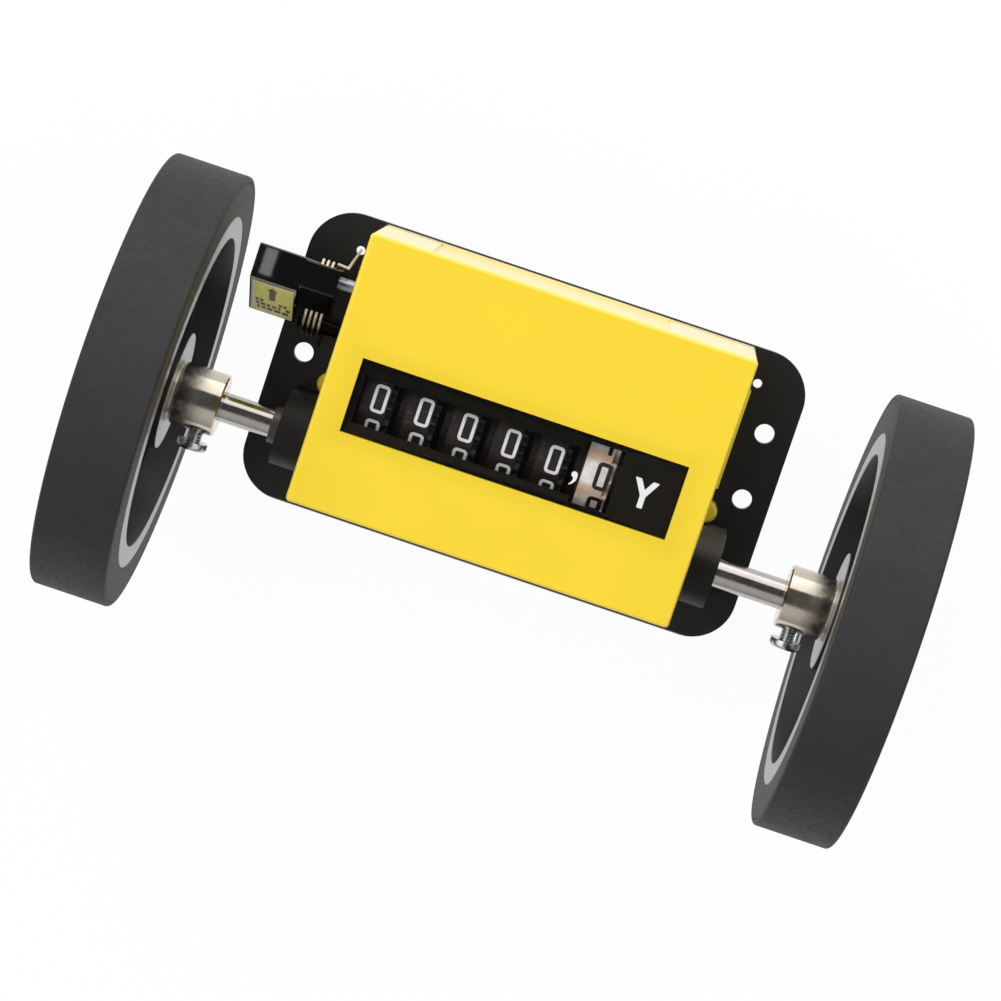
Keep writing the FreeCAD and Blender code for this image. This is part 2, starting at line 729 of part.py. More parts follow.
def right_hub():
    x0 = hub_inner_end()
    x1 = x0 + hub_length
    boss0 = x1 + hub_shoulder_length
    boss1 = boss0 + wheel_boss_length
    outer, shoulder, spigot = hub_diameter / 2, hub_shoulder_diameter / 2, hub_spigot_diameter / 2
    edge = hub_edge_chamfer
    profile = [(x0, axle_radius), (x0, outer - edge), (x0 + edge, outer)]
    profile += [(x1 - edge, outer), (x1, outer - edge), (x1, shoulder), (boss0, shoulder)]
    profile += [(boss0, spigot), (boss1, spigot), (boss1, axle_radius)]
    hub = moved(turned(profile), track_middle_x, axle_y, axle_z)
    thread_start = FreeCAD.Vector(set_screw_x(), axle_y, axle_z)
    hole = Part.makeCylinder(set_screw_diameter / 2, hub_diameter, thread_start, FreeCAD.Vector(0, -1, 0))
    return hub.cut(hole)


def right_set_screw():
    """Slotted pan-head screw that clamps the hub on the axle, head towards -Y."""
    x, radius = set_screw_x(), set_screw_diameter / 2
    tip_y = axle_y - axle_radius
    head_y = axle_y - hub_diameter / 2 - set_screw_stand_off
    outward = FreeCAD.Vector(0, -1, 0)
    shank = Part.makeCylinder(radius, tip_y - head_y, FreeCAD.Vector(x, tip_y, axle_z), outward)
    head_start = FreeCAD.Vector(x, head_y, axle_z)
    head = Part.makeCylinder(set_screw_head_diameter / 2, set_screw_head_height, head_start, outward)
    far_y = head_y - set_screw_head_height
    rim = [edge for edge in head.Edges if edge.BoundBox.YMax < far_y + edge_tolerance]
    head = head.makeFillet(set_screw_head_radius, rim)
    half, reach = set_screw_slot_width / 2, set_screw_head_diameter
    slot = box(x - reach, x + reach, far_y - cut_overrun, far_y + set_screw_slot_depth,
               axle_z - half, axle_z + half)
    return shank.fuse(head.cut(slot)).cut(axle_rod())


def thrust_collars():
    """Collars each side of the left bush that hold the axle endways."""
    outside_x = -block_outer_x - slide_clearance
    inside_x = left_frame_inner_x + slide_clearance
    ends = [(outside_x - outer_collar_length, outside_x), (inside_x, inside_x + inner_collar_length)]
    outer = axle_radius + collar_wall
    return Part.makeCompound([tube_x(x0, x1, axle_y, axle_z, outer, axle_radius) for x0, x1 in ends])


def drive_pinion():
    outline = gear_outline(drive_pinion_teeth, drive_module, drive_addendum, drive_dedendum,
                           drive_pressure_angle, drive_backlash, drive_angle)
    x0 = input_gear_x + (input_gear_width - drive_pinion_width) / 2
    gear = gear_x(outline, x0, x0 + drive_pinion_width, axle_y, axle_z)
    return gear.cut(axle_rod())


# ---- drums, carry pinions and input gear
def input_gear():
    mesh_phase = drive_angle + math.pi + math.pi / input_gear_teeth
    outline = gear_outline(input_gear_teeth, drive_module, drive_addendum, drive_dedendum,
                           drive_pressure_angle, drive_backlash, mesh_phase)
    gear = gear_x(outline, input_gear_x, input_gear_x + input_gear_width, drum_y, drum_z)
    hub_x0 = tenths_drum_x + drum_hub_right
    hub_x1 = input_gear_x + input_gear_width + input_gear_offset
    hub = rod_x(hub_x0, hub_x1, drum_y, drum_z, input_gear_hub_diameter / 2)
    bore_radius = drum_shaft_diameter / 2 + running_clearance
    return joined([gear, hub]).cut(through_x(hub_x0, hub_x1, drum_y, drum_z, bore_radius))


def heart_cam(x0, x1):
    points = []
    for step in range(cam_points):
        share = abs(2 * step / cam_points - 1)
        radius = cam_high_radius - (cam_high_radius - cam_low_radius) * (1 - share)
        angle = 2 * math.pi * step / cam_points
        points.append((drum_y + radius * math.cos(angle), drum_z + radius * math.sin(angle)))
    return prism_x(points, x0, x1)


def number_drum(x):
    """Figure drum: rim and web, teeth on its right, carry disc and heart cam on its left."""
    rim_inner, lap_radius = drum_radius - drum_wall, drum_radius - drum_wall + drum_rim_lap
    rim_x0, rim_x1 = x + carry_disc_right, x + drum_rim_right
    teeth_x1 = rim_x1 + drum_teeth_width
    outline = gear_outline(drum_teeth, transfer_module, transfer_addendum, transfer_dedendum,
                           transfer_pressure_angle, transfer_backlash, pinion_angle)
    ring_inner = transfer_module * (drum_teeth / 2 - transfer_dedendum) - drum_teeth_ring_wall
    solids = [tube_x(rim_x0, rim_x1, drum_y, drum_z, drum_radius, rim_inner)]
    solids.append(rod_x(rim_x0, rim_x0 + drum_web_thickness, drum_y, drum_z, lap_radius))
    solids.append(tube_x(rim_x1 - drum_web_thickness, rim_x1, drum_y, drum_z, lap_radius, ring_inner))
    teeth = gear_x(outline, rim_x1, teeth_x1, drum_y, drum_z)
    solids.append(teeth.cut(through_x(rim_x1, teeth_x1, drum_y, drum_z, ring_inner)))
    carry_x = x + carry_disc_left
    solids.append(rod_x(carry_x, rim_x0, drum_y, drum_z, carry_disc_diameter / 2))
    for side in (-1, 1):
        solids.append(carry_tooth(carry_x, rim_x0, pinion_angle + side * math.radians(carry_tooth_angle)))
    solids.append(heart_cam(carry_x - cam_thickness, carry_x))
    hub_x0, hub_x1 = x + drum_hub_left, x + drum_hub_right
    solids.append(rod_x(hub_x0, hub_x1, drum_y, drum_z, drum_hub_diameter / 2))
    bore_radius = drum_shaft_diameter / 2 + running_clearance
    return joined(solids).cut(through_x(hub_x0, hub_x1, drum_y, drum_z, bore_radius))


def carry_tooth(x0, x1, middle):
    disc_radius = carry_disc_diameter / 2
    corners = [(disc_radius - carry_tooth_root, carry_tooth_base_angle),
               (disc_radius + carry_tooth_height, carry_tooth_tip_angle)]
    rising = [(radius, middle - math.radians(half)) for radius, half in corners]
    falling = [(radius, middle + math.radians(half)) for radius, half in reversed(corners)]
    points = [(drum_y + r * math.cos(a), drum_z + r * math.sin(a)) for r, a in rising + falling]
    return prism_x(points, x0, x1)


def pinion_ends(right_drum_x):
    left_drum_x = right_drum_x - drum_pitch
    return (left_drum_x + drum_rim_right + pinion_side_clearance,
            right_drum_x + carry_disc_right - pinion_side_clearance)


def carry_pinion(right_drum_x):
    """Eight-tooth pinion in the gap to the left of a drum."""
    x0, x1 = pinion_ends(right_drum_x)
    mesh_phase = pinion_angle + math.pi + math.pi / pinion_teeth
    outline = gear_outline(pinion_teeth, transfer_module, transfer_addendum, transfer_dedendum,
                           transfer_pressure_angle, transfer_backlash, mesh_phase)
    bore_radius = pinion_shaft_diameter / 2 + running_clearance
    gear = gear_x(outline, x0, x1, pinion_y, pinion_z)
    return gear.cut(through_x(x0, x1, pinion_y, pinion_z, bore_radius))


def pinion_spacers():
    """Sleeves between the carry pinions and out to the frames."""
    starts, ends = [left_frame_inner_x], []
    for right_drum_x in reversed(drum_xs[:-1]):
        x0, x1 = pinion_ends(right_drum_x)
        ends.append(x0 - slide_clearance)
        starts.append(x1 + slide_clearance)
    ends.append(right_frame_inner_x)
    bore = pinion_shaft_diameter / 2
    places = (pinion_y, pinion_z, bore + pinion_spacer_wall, bore)
    return Part.makeCompound([tube_x(x0, x1, *places) for x0, x1 in zip(starts, ends)])


# ---- reset lever, label, shaft and comb
def about_reset_axis(points):
    return [(reset_y + y, reset_z + z) for y, z in points]


def lever_profile():
    return about_reset_axis([(lever_rear_foot_reach, lever_rear_foot), (lever_top_rear, lever_top),
                             (lever_top_front, lever_top), (lever_foot_front, lever_foot),
                             (lever_foot_front + lever_foot_width, lever_foot)])


def hinge_block_profile():
    top, rear = lever_top - hinge_block_step, lever_top_rear - hinge_block_step
    return about_reset_axis([(lever_rear_foot_reach, lever_rear_foot), (rear, top),
                             (hinge_block_top_front, top), (hinge_block_foot_front, hinge_block_foot)])


def hollow_profile(profile, wall):
    """The profile less a top and a front wall, let out at the bottom and the rear."""
    top = profile[1][1] - wall
    rear_y = profile[1][0] + cut_overrun
    front_y, front_z = profile[2]
    foot_y, foot_z = profile[3]
    slope = (front_y - foot_y) / (front_z - foot_z)
    step = wall * math.hypot(1, slope)
    bottom = min(foot_z, profile[0][1]) - cut_overrun
    top_front_y = front_y - slope * (front_z - top) + step
    bottom_front_y = foot_y - slope * (foot_z - bottom) + step
    return [(rear_y, bottom), (rear_y, top), (top_front_y, top), (bottom_front_y, bottom)]


def reset_lever():
    """Finger grip and hinge block: top, front and side walls, open below and behind."""
    top_z = reset_z + lever_top
    grip = prism_x(lever_profile(), lever_left_x, lever_split_x)
    top_edges = edges_along(grip, 0, lambda middle: middle.z > top_z - edge_tolerance)
    end_edges = [edge for edge in grip.Edges if edge.BoundBox.XMax < lever_left_x + edge_tolerance]
    grip = grip.makeFillet(lever_edge_radius, top_edges + end_edges)
    hollow = hollow_profile(lever_profile(), lever_wall)
    hub_x0 = lever_split_x - lever_wall
    grip = grip.cut(prism_x(hollow, lever_left_x + lever_wall, hub_x0))
    block = prism_x(hinge_block_profile(), lever_split_x, lever_right_x)
    block_top_z = top_z - hinge_block_step
    block_edges = edges_along(block, 0, lambda middle: middle.z > block_top_z - edge_tolerance)
    block = block.makeFillet(lever_edge_radius, block_edges)
    pocket = hollow_profile(hinge_block_profile(), hinge_block_wall)
    block = block.cut(prism_x(pocket, hub_x0, lever_right_x - hinge_block_wall))
    hub = rod_x(hub_x0, lever_right_x, reset_y, reset_z, lever_hub_diameter / 2)
    bore = through_x(hub_x0, lever_right_x, reset_y, reset_z, reset_shaft_diameter / 2)
    return joined([grip, block, hub]).cut(bore)


def reset_label():
    """Sticker on the grip's sloping front face."""
    top, foot = lever_profile()[2:4]
    run_y, run_z = foot[0] - top[0], foot[1] - top[1]
    length = math.hypot(run_y, run_z)
    along = (run_y / length, run_z / length)
    outward = (along[1], -along[0])
    start, end = label_end_margin, length - label_end_margin
    points = []
    for distance, lift in ((start, 0), (end, 0), (end, label_thickness), (start, label_thickness)):
        y = top[0] + along[0] * distance + outward[0] * lift
        z = top[1] + along[1] * distance + outward[1] * lift
        points.append((y, z))
    return prism_x(points, lever_left_x + label_margin + lever_edge_radius, lever_split_x - label_margin)


def reset_shaft():
    x0 = lever_split_x - lever_wall
    return rod_x(x0, right_frame_outer_x, reset_y, reset_z, reset_shaft_diameter / 2)


def reset_comb():
    """One finger for each drum's heart cam, on a common sleeve."""
    to_drums = math.atan2(drum_z - reset_z, drum_y - reset_y)
    axis_distance = math.hypot(reset_axis_behind_drums, reset_axis_below_drums)
    finger_length = axis_distance - cam_high_radius - finger_cam_gap
    rest_angle = to_drums + math.radians(reset_travel)
    finger_xs = [x + finger_middle for x in drum_xs]
    x0, x1 = min(finger_xs) - finger_thickness / 2, max(finger_xs) + finger_thickness / 2 + comb_end_length
    solids = [rod_x(x0, x1, reset_y, reset_z, comb_hub_diameter / 2)]
    for x in finger_xs:
        points = []
        for distance, width in ((0, -finger_root_width), (finger_length, -finger_tip_width),
                                (finger_length, finger_tip_width), (0, finger_root_width)):
            y = distance * math.cos(rest_angle) - width / 2 * math.sin(rest_angle)
            z = distance * math.sin(rest_angle) + width / 2 * math.cos(rest_angle)
            points.append((y, z))
        solids.append(prism_x(about_reset_axis(points), x - finger_thickness / 2, x + finger_thickness / 2))
    return joined(solids).cut(through_x(x0, x1, reset_y, reset_z, reset_shaft_diameter / 2))


# ---- springs and the front spring's pin
def front_spring_ends():
    x1 = lever_right_x - front_spring_inset
    return x1 - front_spring_pitch * front_spring_turns, x1


def front_spring_pin():
    x0, radius = front_spring_ends()[0] - spring_pin_overhang, front_spring_pin_diameter / 2
    return rod_x(x0, left_frame_inner_x, front_spring_pin_y, front_spring_pin_z, radius)


def coil(x0, y, z, radius, wire, pitch, turns, start_angle=0):
    """A helix of round wire about X that starts on its -Z side, or turned on from there."""
    spine = Part.Wire(Part.makeHelix(pitch, pitch * turns, radius).Edges)
    along = FreeCAD.Vector(0, 1, pitch / (2 * math.pi * radius))
    section = Part.Wire(Part.Circle(FreeCAD.Vector(radius, 0, 0), along, wire / 2).toShape())
    body = spine.makePipeShell([section], True, True)
    body.rotate(FreeCAD.Vector(0, 0, 0), FreeCAD.Vector(0, 1, 0), 90)
    body.rotate(FreeCAD.Vector(0, 0, 0), FreeCAD.Vector(1, 0, 0), start_angle)
    return moved(body, x0, y, z)


def wire_run(points, wire):
    """Straight runs of wire with a ball at each bend."""
    solids = []
    for start, end in zip(points, points[1:]):
        first, last = FreeCAD.Vector(*start), FreeCAD.Vector(*end)
        run = last - first
        solids.append(Part.makeCylinder(wire / 2, run.Length, first, run))
        solids.append(Part.makeSphere(wire / 2, last))
    solids.append(Part.makeSphere(wire / 2, FreeCAD.Vector(*points[0])))
    return solids


def front_spring():
    x0, x1 = front_spring_ends()
    y, z, radius = front_spring_pin_y, front_spring_pin_z, front_spring_radius
    body = coil(x0, y, z, radius, front_spring_wire, front_spring_pitch, front_spring_turns)
    foot_z, reach = plate_top + front_spring_wire / 2, front_spring_leg_reach
    rear_leg = wire_run([(x0, y, z - radius), (x0, y + reach, foot_z)], front_spring_wire)
    front_leg = wire_run([(x1, y, z - radius), (x1, y - reach, foot_z)], front_spring_wire)
    return joined([body] + rear_leg + front_leg)


def rear_spring():
    """Return spring about the lever's hub, hooked in the plate and bearing under the lever's top."""
    y, z, radius, wire = reset_y, reset_z, rear_spring_radius, rear_spring_wire
    x1 = lever_right_x - hinge_block_wall - slide_clearance - wire / 2
    x0 = x1 - rear_spring_pitch * rear_spring_turns
    body = coil(x0, y, z, radius, wire, rear_spring_pitch, rear_spring_turns, 180)
    bend_z = z + rear_spring_leg_rise
    points = [(x1, y + radius, z), (-anchor_hole_x, y + radius, bend_z),
              (-anchor_hole_x, anchor_hole_y, wire / 2)]
    bearing_end = (x0, y - rear_spring_bearing_reach, z + radius + rear_spring_bearing_rise)
    short_leg = wire_run([(x0, y, z + radius), bearing_end], wire)
    return joined([body] + wire_run(points, wire) + short_leg)


# ---- every piece by its name
def pieces():
    named = {}
    fixed = [base_plate, frame_screws, cover_screws, left_frame, right_frame, left_bush, right_bush, tie_bars,
             drum_shaft, pinion_shaft, drum_spacers, pinion_spacers, cover, window_mask, window_pane,
             front_spring_pin]
    turning = [axle, thrust_collars, drive_pinion, input_gear]
    resetting = [reset_lever, reset_label, reset_shaft, reset_comb, front_spring, rear_spring]
    for make in fixed + turning + resetting:
        named[make.__name__] = make()
    for make in (right_tyre, right_wheel, right_hub, right_set_screw):
        shape = make()
        named[make.__name__] = shape
        named[make.__name__.replace("right", "left")] = mirrored_on_track(shape)
    for name, x in zip(drum_names, drum_xs):
        named["drum_" + name] = number_drum(x)
    for name, x in zip(drum_names[1:], drum_xs):
        named["carry_pinion_" + name] = carry_pinion(x)
    return named


os.makedirs("parts", exist_ok=True)
for piece_name, piece in pieces().items():
    piece.exportStep(os.path.join("parts", piece_name + ".step"))
    print(piece_name, len(piece.Solids), "solids", round(piece.Volume, 1), "mm3", piece.isValid())
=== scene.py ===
"""Finishes, printed figures, turned wheels, screw threads and studio for the cable length counter.

Lengths are in metres, written as millimetres times MM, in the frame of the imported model: X along
the axle, Y towards the rear and Z out of the base plate.
"""
from functools import partialmethod
from math import atan2, ceil, cos, hypot, pi, radians, remainder, sin, tan, tau

import bmesh
import bpy
from bpy.props import FloatProperty, FloatVectorProperty, PointerProperty
from mathutils import Matrix, Vector


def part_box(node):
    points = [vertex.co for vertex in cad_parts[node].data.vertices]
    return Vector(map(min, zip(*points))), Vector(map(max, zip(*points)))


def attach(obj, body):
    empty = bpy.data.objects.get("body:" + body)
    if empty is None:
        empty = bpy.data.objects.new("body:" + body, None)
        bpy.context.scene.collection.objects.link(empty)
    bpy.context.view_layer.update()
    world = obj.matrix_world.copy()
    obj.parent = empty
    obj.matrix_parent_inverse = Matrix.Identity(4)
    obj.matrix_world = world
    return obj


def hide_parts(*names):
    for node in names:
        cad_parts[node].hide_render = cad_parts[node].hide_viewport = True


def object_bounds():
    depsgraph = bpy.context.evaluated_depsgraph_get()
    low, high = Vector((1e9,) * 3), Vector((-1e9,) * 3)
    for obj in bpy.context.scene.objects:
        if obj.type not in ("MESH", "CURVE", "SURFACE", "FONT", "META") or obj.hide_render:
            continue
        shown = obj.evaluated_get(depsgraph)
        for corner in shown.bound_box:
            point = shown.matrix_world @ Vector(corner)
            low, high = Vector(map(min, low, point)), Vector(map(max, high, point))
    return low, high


bl_info = {
    "name": "Cable length counter",
    "version": (1, 0, 0),
    "blender": (4, 5, 0),
    "location": "View3D > Sidebar > Counter",
    "description": "Finishes and fine pieces of a length counter with two measuring wheels",
    "category": "Object",
}

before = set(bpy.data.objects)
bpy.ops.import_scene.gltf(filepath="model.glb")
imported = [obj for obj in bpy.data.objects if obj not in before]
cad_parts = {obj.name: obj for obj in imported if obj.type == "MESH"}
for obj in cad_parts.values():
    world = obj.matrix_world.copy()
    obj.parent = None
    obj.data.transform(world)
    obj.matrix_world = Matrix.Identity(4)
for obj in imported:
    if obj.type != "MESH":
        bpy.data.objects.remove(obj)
cad_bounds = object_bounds()

MM = 0.001
DRUMS = ("ten_thousands", "thousands", "hundreds", "tens", "units", "tenths")
SIDES = {"left": -1, "right": 1}


def middle(node):
    low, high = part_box(node)
    return (low + high) / 2


def extent(node):
    low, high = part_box(node)
    return high - low


AXLE = middle("left_tyre")                       # its Y and Z are the axle's centre line
TRACK_X = (middle("left_tyre").x + middle("right_tyre").x) / 2
WHEEL_INNER = middle("right_tyre").x - extent("right_tyre").x / 2 - TRACK_X
WHEEL_WIDTH = extent("right_tyre").x
TYRE_RADIUS = extent("left_tyre").z / 2
WHEEL_RADIUS = extent("left_wheel").z / 2        # where the tyre begins
SCREW_X = middle("right_set_screw").x - TRACK_X
DRUM_AXIS = middle("drum_units")                 # its Y and Z are the drums' centre line
DRUM_RADIUS = extent("drum_units").z / 2
MASK_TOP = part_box("window_mask")[1].z


def shown(red, green, blue):
    """A colour given as it looks on a display, 0 to 255, as scene values."""
    return tuple(
        value / 12.92 if value <= 0.04045 else ((value + 0.055) / 1.055) ** 2.4
        for value in (red / 255, green / 255, blue / 255)
    )


def scaled(tint, factor):
    return tuple(min(1.0, value * factor) for value in tint)


# colours of what settles on the pieces or rubs off them, and of painted shade, painted highlights
# and painted reflections
DUST = shown(170, 168, 160)
# pale colour for a rubbed edge and for painted highlights
RUB_AND_HIGHLIGHT = shown(158, 154, 146)
# painted shade on the front spring's coil
COIL_SHADE = shown(46, 38, 33)
BLACK_STREAK = shown(104, 92, 84)
WHITE_STREAK = shown(214, 178, 148)
# painted reflection of the yellow cover on the white drum
REFLECTED_TAN = shown(208, 152, 108)
# painted shade that the reset lever throws on the cover
LEVER_SHADE = shown(214, 158, 34)
# painted reflection: the pale cream sheen of the cover's rear wall
GLARE_CREAM = shown(240, 232, 196)


# ---- settings


def size(name, description, default):
    return FloatProperty(name=name, description=description, default=default * MM, min=0,
                         unit="LENGTH", subtype="DISTANCE", precision=5)


def colour(name, description, *default):
    return FloatVectorProperty(name=name, description=description, default=shown(*default),
                               min=0, max=1, subtype="COLOR")


def level(name, description, default):
    return FloatProperty(name=name, description=description, default=default, min=0, max=10)


def share(name, description, default):
    return FloatProperty(name=name, description=description, default=default, min=0, max=1,
                         subtype="FACTOR")


class CounterWheels(bpy.types.PropertyGroup):
    shoulder: size("Tyre shoulder", "Radius of the tyre's outer edges", 0.74)
    groove: size("Shoulder groove", "Width and depth of the fine groove beside the shoulder", 0.22)
    rim_inner: size("Rim inner radius", "Radius of the rim's bore at the wheel's faces", 34.83)
    draft: size("Rim draft", "How much the rim's bore narrows towards the web", 0.98)
    web: size("Web thickness", "Thickness of the disc between rim and boss", 3.94)
    boss_radius: size("Boss radius", "Radius of the boss round the hub", 12.99)
    boss_length: size("Boss length", "Length of the boss along the axle", 14.17)
    bore: size("Boss bore", "Radius of the hole for the hub", 4.7)
    edge: size("Machined edge", "Radius on the wheel's machined edges", 0.3)
    fillet: size("Web fillet", "Radius where the web meets rim and boss", 0.8)


class CounterScrews(bpy.types.PropertyGroup):
    shank: size("Shank radius", "Radius over the set screws' threads", 1.71)
    pitch: size("Thread pitch", "Distance from one thread to the next", 0.6)
    thread: size("Thread depth", "Depth of the set screws' threads", 0.3)
    slot: size("Slot width", "Width of the driver slot", 0.89)
    slot_depth: size("Slot depth", "Depth of the driver slot", 0.98)
    head: size("Head height", "Height of a set screw's head", 1.85)


class CounterPrint(bpy.types.PropertyGroup):
    height: size("Figure height", "Height of a figure on a drum", 6.05)
    width: size("Figure width", "Width of a figure on a drum", 3.15)
    stroke: size("Stroke", "Width of a figure's lines", 0.68)
    dark_stroke: size("Dark stroke", "Width of the lines of a figure on the white drum", 0.88)
    corner: size("Corner", "Radius of the middle of a figure's lines at its corners", 0.55)
    ink: size("Ink", "How far a print stands above its surface", 0.035)
    cell: size("Cell", "Step of the grid that a print is made on", 0.14)
    letter_height: size("Letter height", "Height of the unit letter", 6.1)
    letter_width: size("Letter width", "Width of the unit letter", 5.4)
    letter_stroke: size("Letter stroke", "Width of the unit letter's lines", 1.2)


class CounterColours(bpy.types.PropertyGroup):
    cover: colour("Cover", "Moulded cover", 254, 221, 62)
    plate: colour("Plate", "Enamelled base plate", 17, 17, 16)
    moulding: colour("Frames", "Moulded side frames and bearing blocks", 26, 24, 24)
    lever: colour("Lever", "Polished reset lever", 13, 13, 14)
    label: colour("Label", "Sticker on the reset lever", 252, 246, 84)
    label_edge: colour("Label edge", "Bare edge of the sticker", 238, 234, 196)
    label_ink: colour("Label ink", "Arrow and lines of print on the sticker", 80, 70, 44)
    tread: colour("Tread", "Tyre's tread", 33, 33, 34)
    tyre_side: colour("Tyre side", "Tyre's side faces", 50, 46, 43)
    aluminium: colour("Aluminium", "Machined faces of the wheels", 176, 176, 178)
    recess: colour("Recess", "Paint in the wheels' recesses", 15, 17, 20)
    nickel: colour("Nickel", "Plating of the hubs", 214, 205, 189)
    steel: colour("Steel", "Ground axle and shafts", 190, 186, 181)
    collar: colour("Collars", "Phosphated steel collars", 92, 88, 86)
    zinc: colour("Zinc", "Plating of the screws", 208, 212, 218)
    shaft: colour("Reset shaft", "Oiled shaft of the reset lever", 160, 165, 174)
    pin: colour("Spring pin", "Blackened pin of the front spring", 24, 23, 22)
    spring: colour("Spring", "Drawn spring wire", 246, 234, 214)
    bronze: colour("Bronze", "Sintered bushes", 168, 132, 84)
    brass: colour("Brass", "Drive pinion", 206, 170, 106)
    acetal: colour("Acetal", "Gears and carry pinions", 226, 222, 212)
    drum: colour("Black drum", "Number drums", 38, 31, 28)
    white_drum: colour("White drum", "White track of the tenths' drum", 250, 236, 230)
    # painted shade on the tenths' drum beside its white track
    rim_shade: colour("Drum rim", "Bare moulding beside the white track", 44, 32, 27)
    figure: colour("White figures", "Figures, comma and unit letter", 244, 244, 244)
    dark_figure: colour("Dark figures", "Figures on the white drum", 24, 18, 20)
    mask: colour("Mask", "Printed mask under the window", 19, 15, 7)
    pane: colour("Pane", "Clear window pane", 40, 40, 42)
    floor: colour("Floor", "Floor under the counter", 250, 250, 250)


class CounterStudio(bpy.types.PropertyGroup):
    camera_place: FloatVectorProperty(
        name="Camera place", description="Where the camera stands", subtype="TRANSLATION",
        unit="LENGTH", default=(0.0102147, 0.0821451, 0.7670753), precision=5)
    camera_turn: FloatVectorProperty(
        name="Camera turn", description="How the camera is turned", subtype="EULER",
        unit="ROTATION", default=(radians(-7.30425), radians(3.19344), radians(18.32362)))
    lens: FloatProperty(name="Lens", description="Focal length on a 36 mm sensor", default=128.08,
                        min=1, unit="CAMERA")
    key: FloatProperty(name="Key", description="Power of the soft box behind the counter",
                       default=4.7, min=0, unit="POWER")
    key_tilt: FloatProperty(name="Key tilt", description="Turn of the soft box from overhead",
                            default=radians(70), unit="ROTATION", subtype="ANGLE")
    rear_level: level("Rear level", "Brightness behind the counter", 0.85)
    front_level: level("Front level", "Brightness before the counter", 0.8)
    low_level: level("Low level", "Brightness low before the counter", 0.33)
    side_level: level("Side level", "Brightness low beside the counter", 0.4)
    high_level: level("High level", "Brightness high beside the counter", 2.7)
    overhead: level("Overhead", "Brightness straight above", 0.1)
    lamp: level("Lamp", "Brightness of the small lamp above the counter", 4.6)
    shade: share("Shade", "Share of the floor that takes shadows where it is seen", 0.04)


class CounterSettings(bpy.types.PropertyGroup):
    wheels: PointerProperty(name="Wheels", description="Tyres and wheels", type=CounterWheels)
    screws: PointerProperty(name="Screws", description="Set screws", type=CounterScrews)
    prints: PointerProperty(name="Print", description="Figures and letters", type=CounterPrint)
    colours: PointerProperty(name="Colours", description="Colours of all pieces",
                             type=CounterColours)
    studio: PointerProperty(name="Studio", description="Camera and light", type=CounterStudio)


# ---- shader nodes


class Field:
    """A shader socket that takes part in arithmetic: each operation adds a Math node."""

    def __init__(self, nodes, socket):
        self.nodes, self.socket = nodes, socket

    def math(self, operation, *others):
        return self.nodes.node("Math", (self, *others), operation=operation)

    __add__ = __radd__ = partialmethod(math, "ADD")
    __mul__ = __rmul__ = partialmethod(math, "MULTIPLY")
    __sub__ = partialmethod(math, "SUBTRACT")
    __gt__ = partialmethod(math, "GREATER_THAN")
    __lt__ = partialmethod(math, "LESS_THAN")
    __abs__ = partialmethod(math, "ABSOLUTE")

    def __rsub__(self, other):
        return self.nodes.node("Math", (other, self), operation="SUBTRACT")

    def over(self, start, end):
        """0 before start, 1 after end and a smooth rise between them."""
        return self.nodes.node("MapRange", (self, start, end), interpolation_type="SMOOTHSTEP")


class Nodes:
    """A node tree, with the coordinates that its patterns use."""

    def __init__(self, tree, coordinates="Object"):
        self.tree = tree
        tree.nodes.clear()
        self.place = self.node("TexCoord", output=coordinates)
        self.x, self.y, self.z = (self.node("SeparateXYZ", (self.place,), output=axis)
                                  for axis in "XYZ")

    def node(self, kind, values=(), output=0, **settings):
        """Add one node: its settings first, then the values or links of its sockets."""
        node = self.tree.nodes.new("ShaderNode" + kind)
        for name, value in settings.items():
            setattr(node, name, value)
        pairs = values.items() if isinstance(values, dict) else enumerate(values)
        for key, value in pairs:
            socket = node.inputs[key]
            if isinstance(value, Field):
                self.tree.links.new(value.socket, socket)
            elif value is not None:
                socket.default_value = (*value, 1) if socket.type == "RGBA" else value
        return Field(self, node.outputs[output]) if node.outputs else None

    def noise(self, grain, detail=2.0, stretch=(1, 1, 1), rough=0.5):
        """Cloudy noise with lumps of about grain metres, longer along stretched axes."""
        place = self.place
        if stretch != (1, 1, 1):
            place = self.node("VectorMath", (place, tuple(1 / s for s in stretch)),
                              operation="MULTIPLY")
        return self.node("TexNoise", {"Vector": place, "Scale": 1 / grain, "Detail": detail,
                                      "Roughness": rough})

    def lines(self, along, grain):
        """Uneven lines across the direction in which the field along grows."""
        return self.node("TexNoise", {"W": along, "Scale": 1 / grain, "Detail": 3.0,
                                      "Roughness": 0.65}, noise_dimensions="1D")

    def specks(self, spacing, radius):
        """1 inside scattered specks of about radius metres."""
        distance = self.node("TexVoronoi", {"Vector": self.place, "Scale": 1 / spacing},
                             output="Distance")
        return 1 - distance.over(0.6 * radius / spacing, radius / spacing)

    def from_axle(self):
        """Distance from the axle's centre line."""
        across, up = self.y - AXLE.y, self.z - AXLE.z
        return (across * across + up * up).math("SQRT")

    def mixed(self, part, first, second):
        return self.node("Mix", {0: part, 6: first, 7: second}, output=2, data_type="RGBA")

    def toned(self, part, tint, low, high=1):
        """The tint times low where part is 0, and times high where it is 1."""
        return self.mixed(part, scaled(tint, low), scaled(tint, high))

    def bump(self, height, depth, below=None):
        """Relief: a height of 0 to 1 stands for depth metres."""
        return self.node("Bump", {"Height": height, "Distance": depth, "Strength": 1.0,
                                  "Normal": below})


class Finish(Nodes):
    """A material with one Principled shader."""

    def __init__(self, name):
        self.material = bpy.data.materials.new(name)
        self.material.use_nodes = True
        super().__init__(self.material.node_tree)

    def close(self, **sockets):
        """End the material: each keyword is a socket's name with _ for a space."""
        names = {name.replace("_", " "): value for name, value in sockets.items()}
        self.node("OutputMaterial", (self.node("BsdfPrincipled", names),))
        return self.material


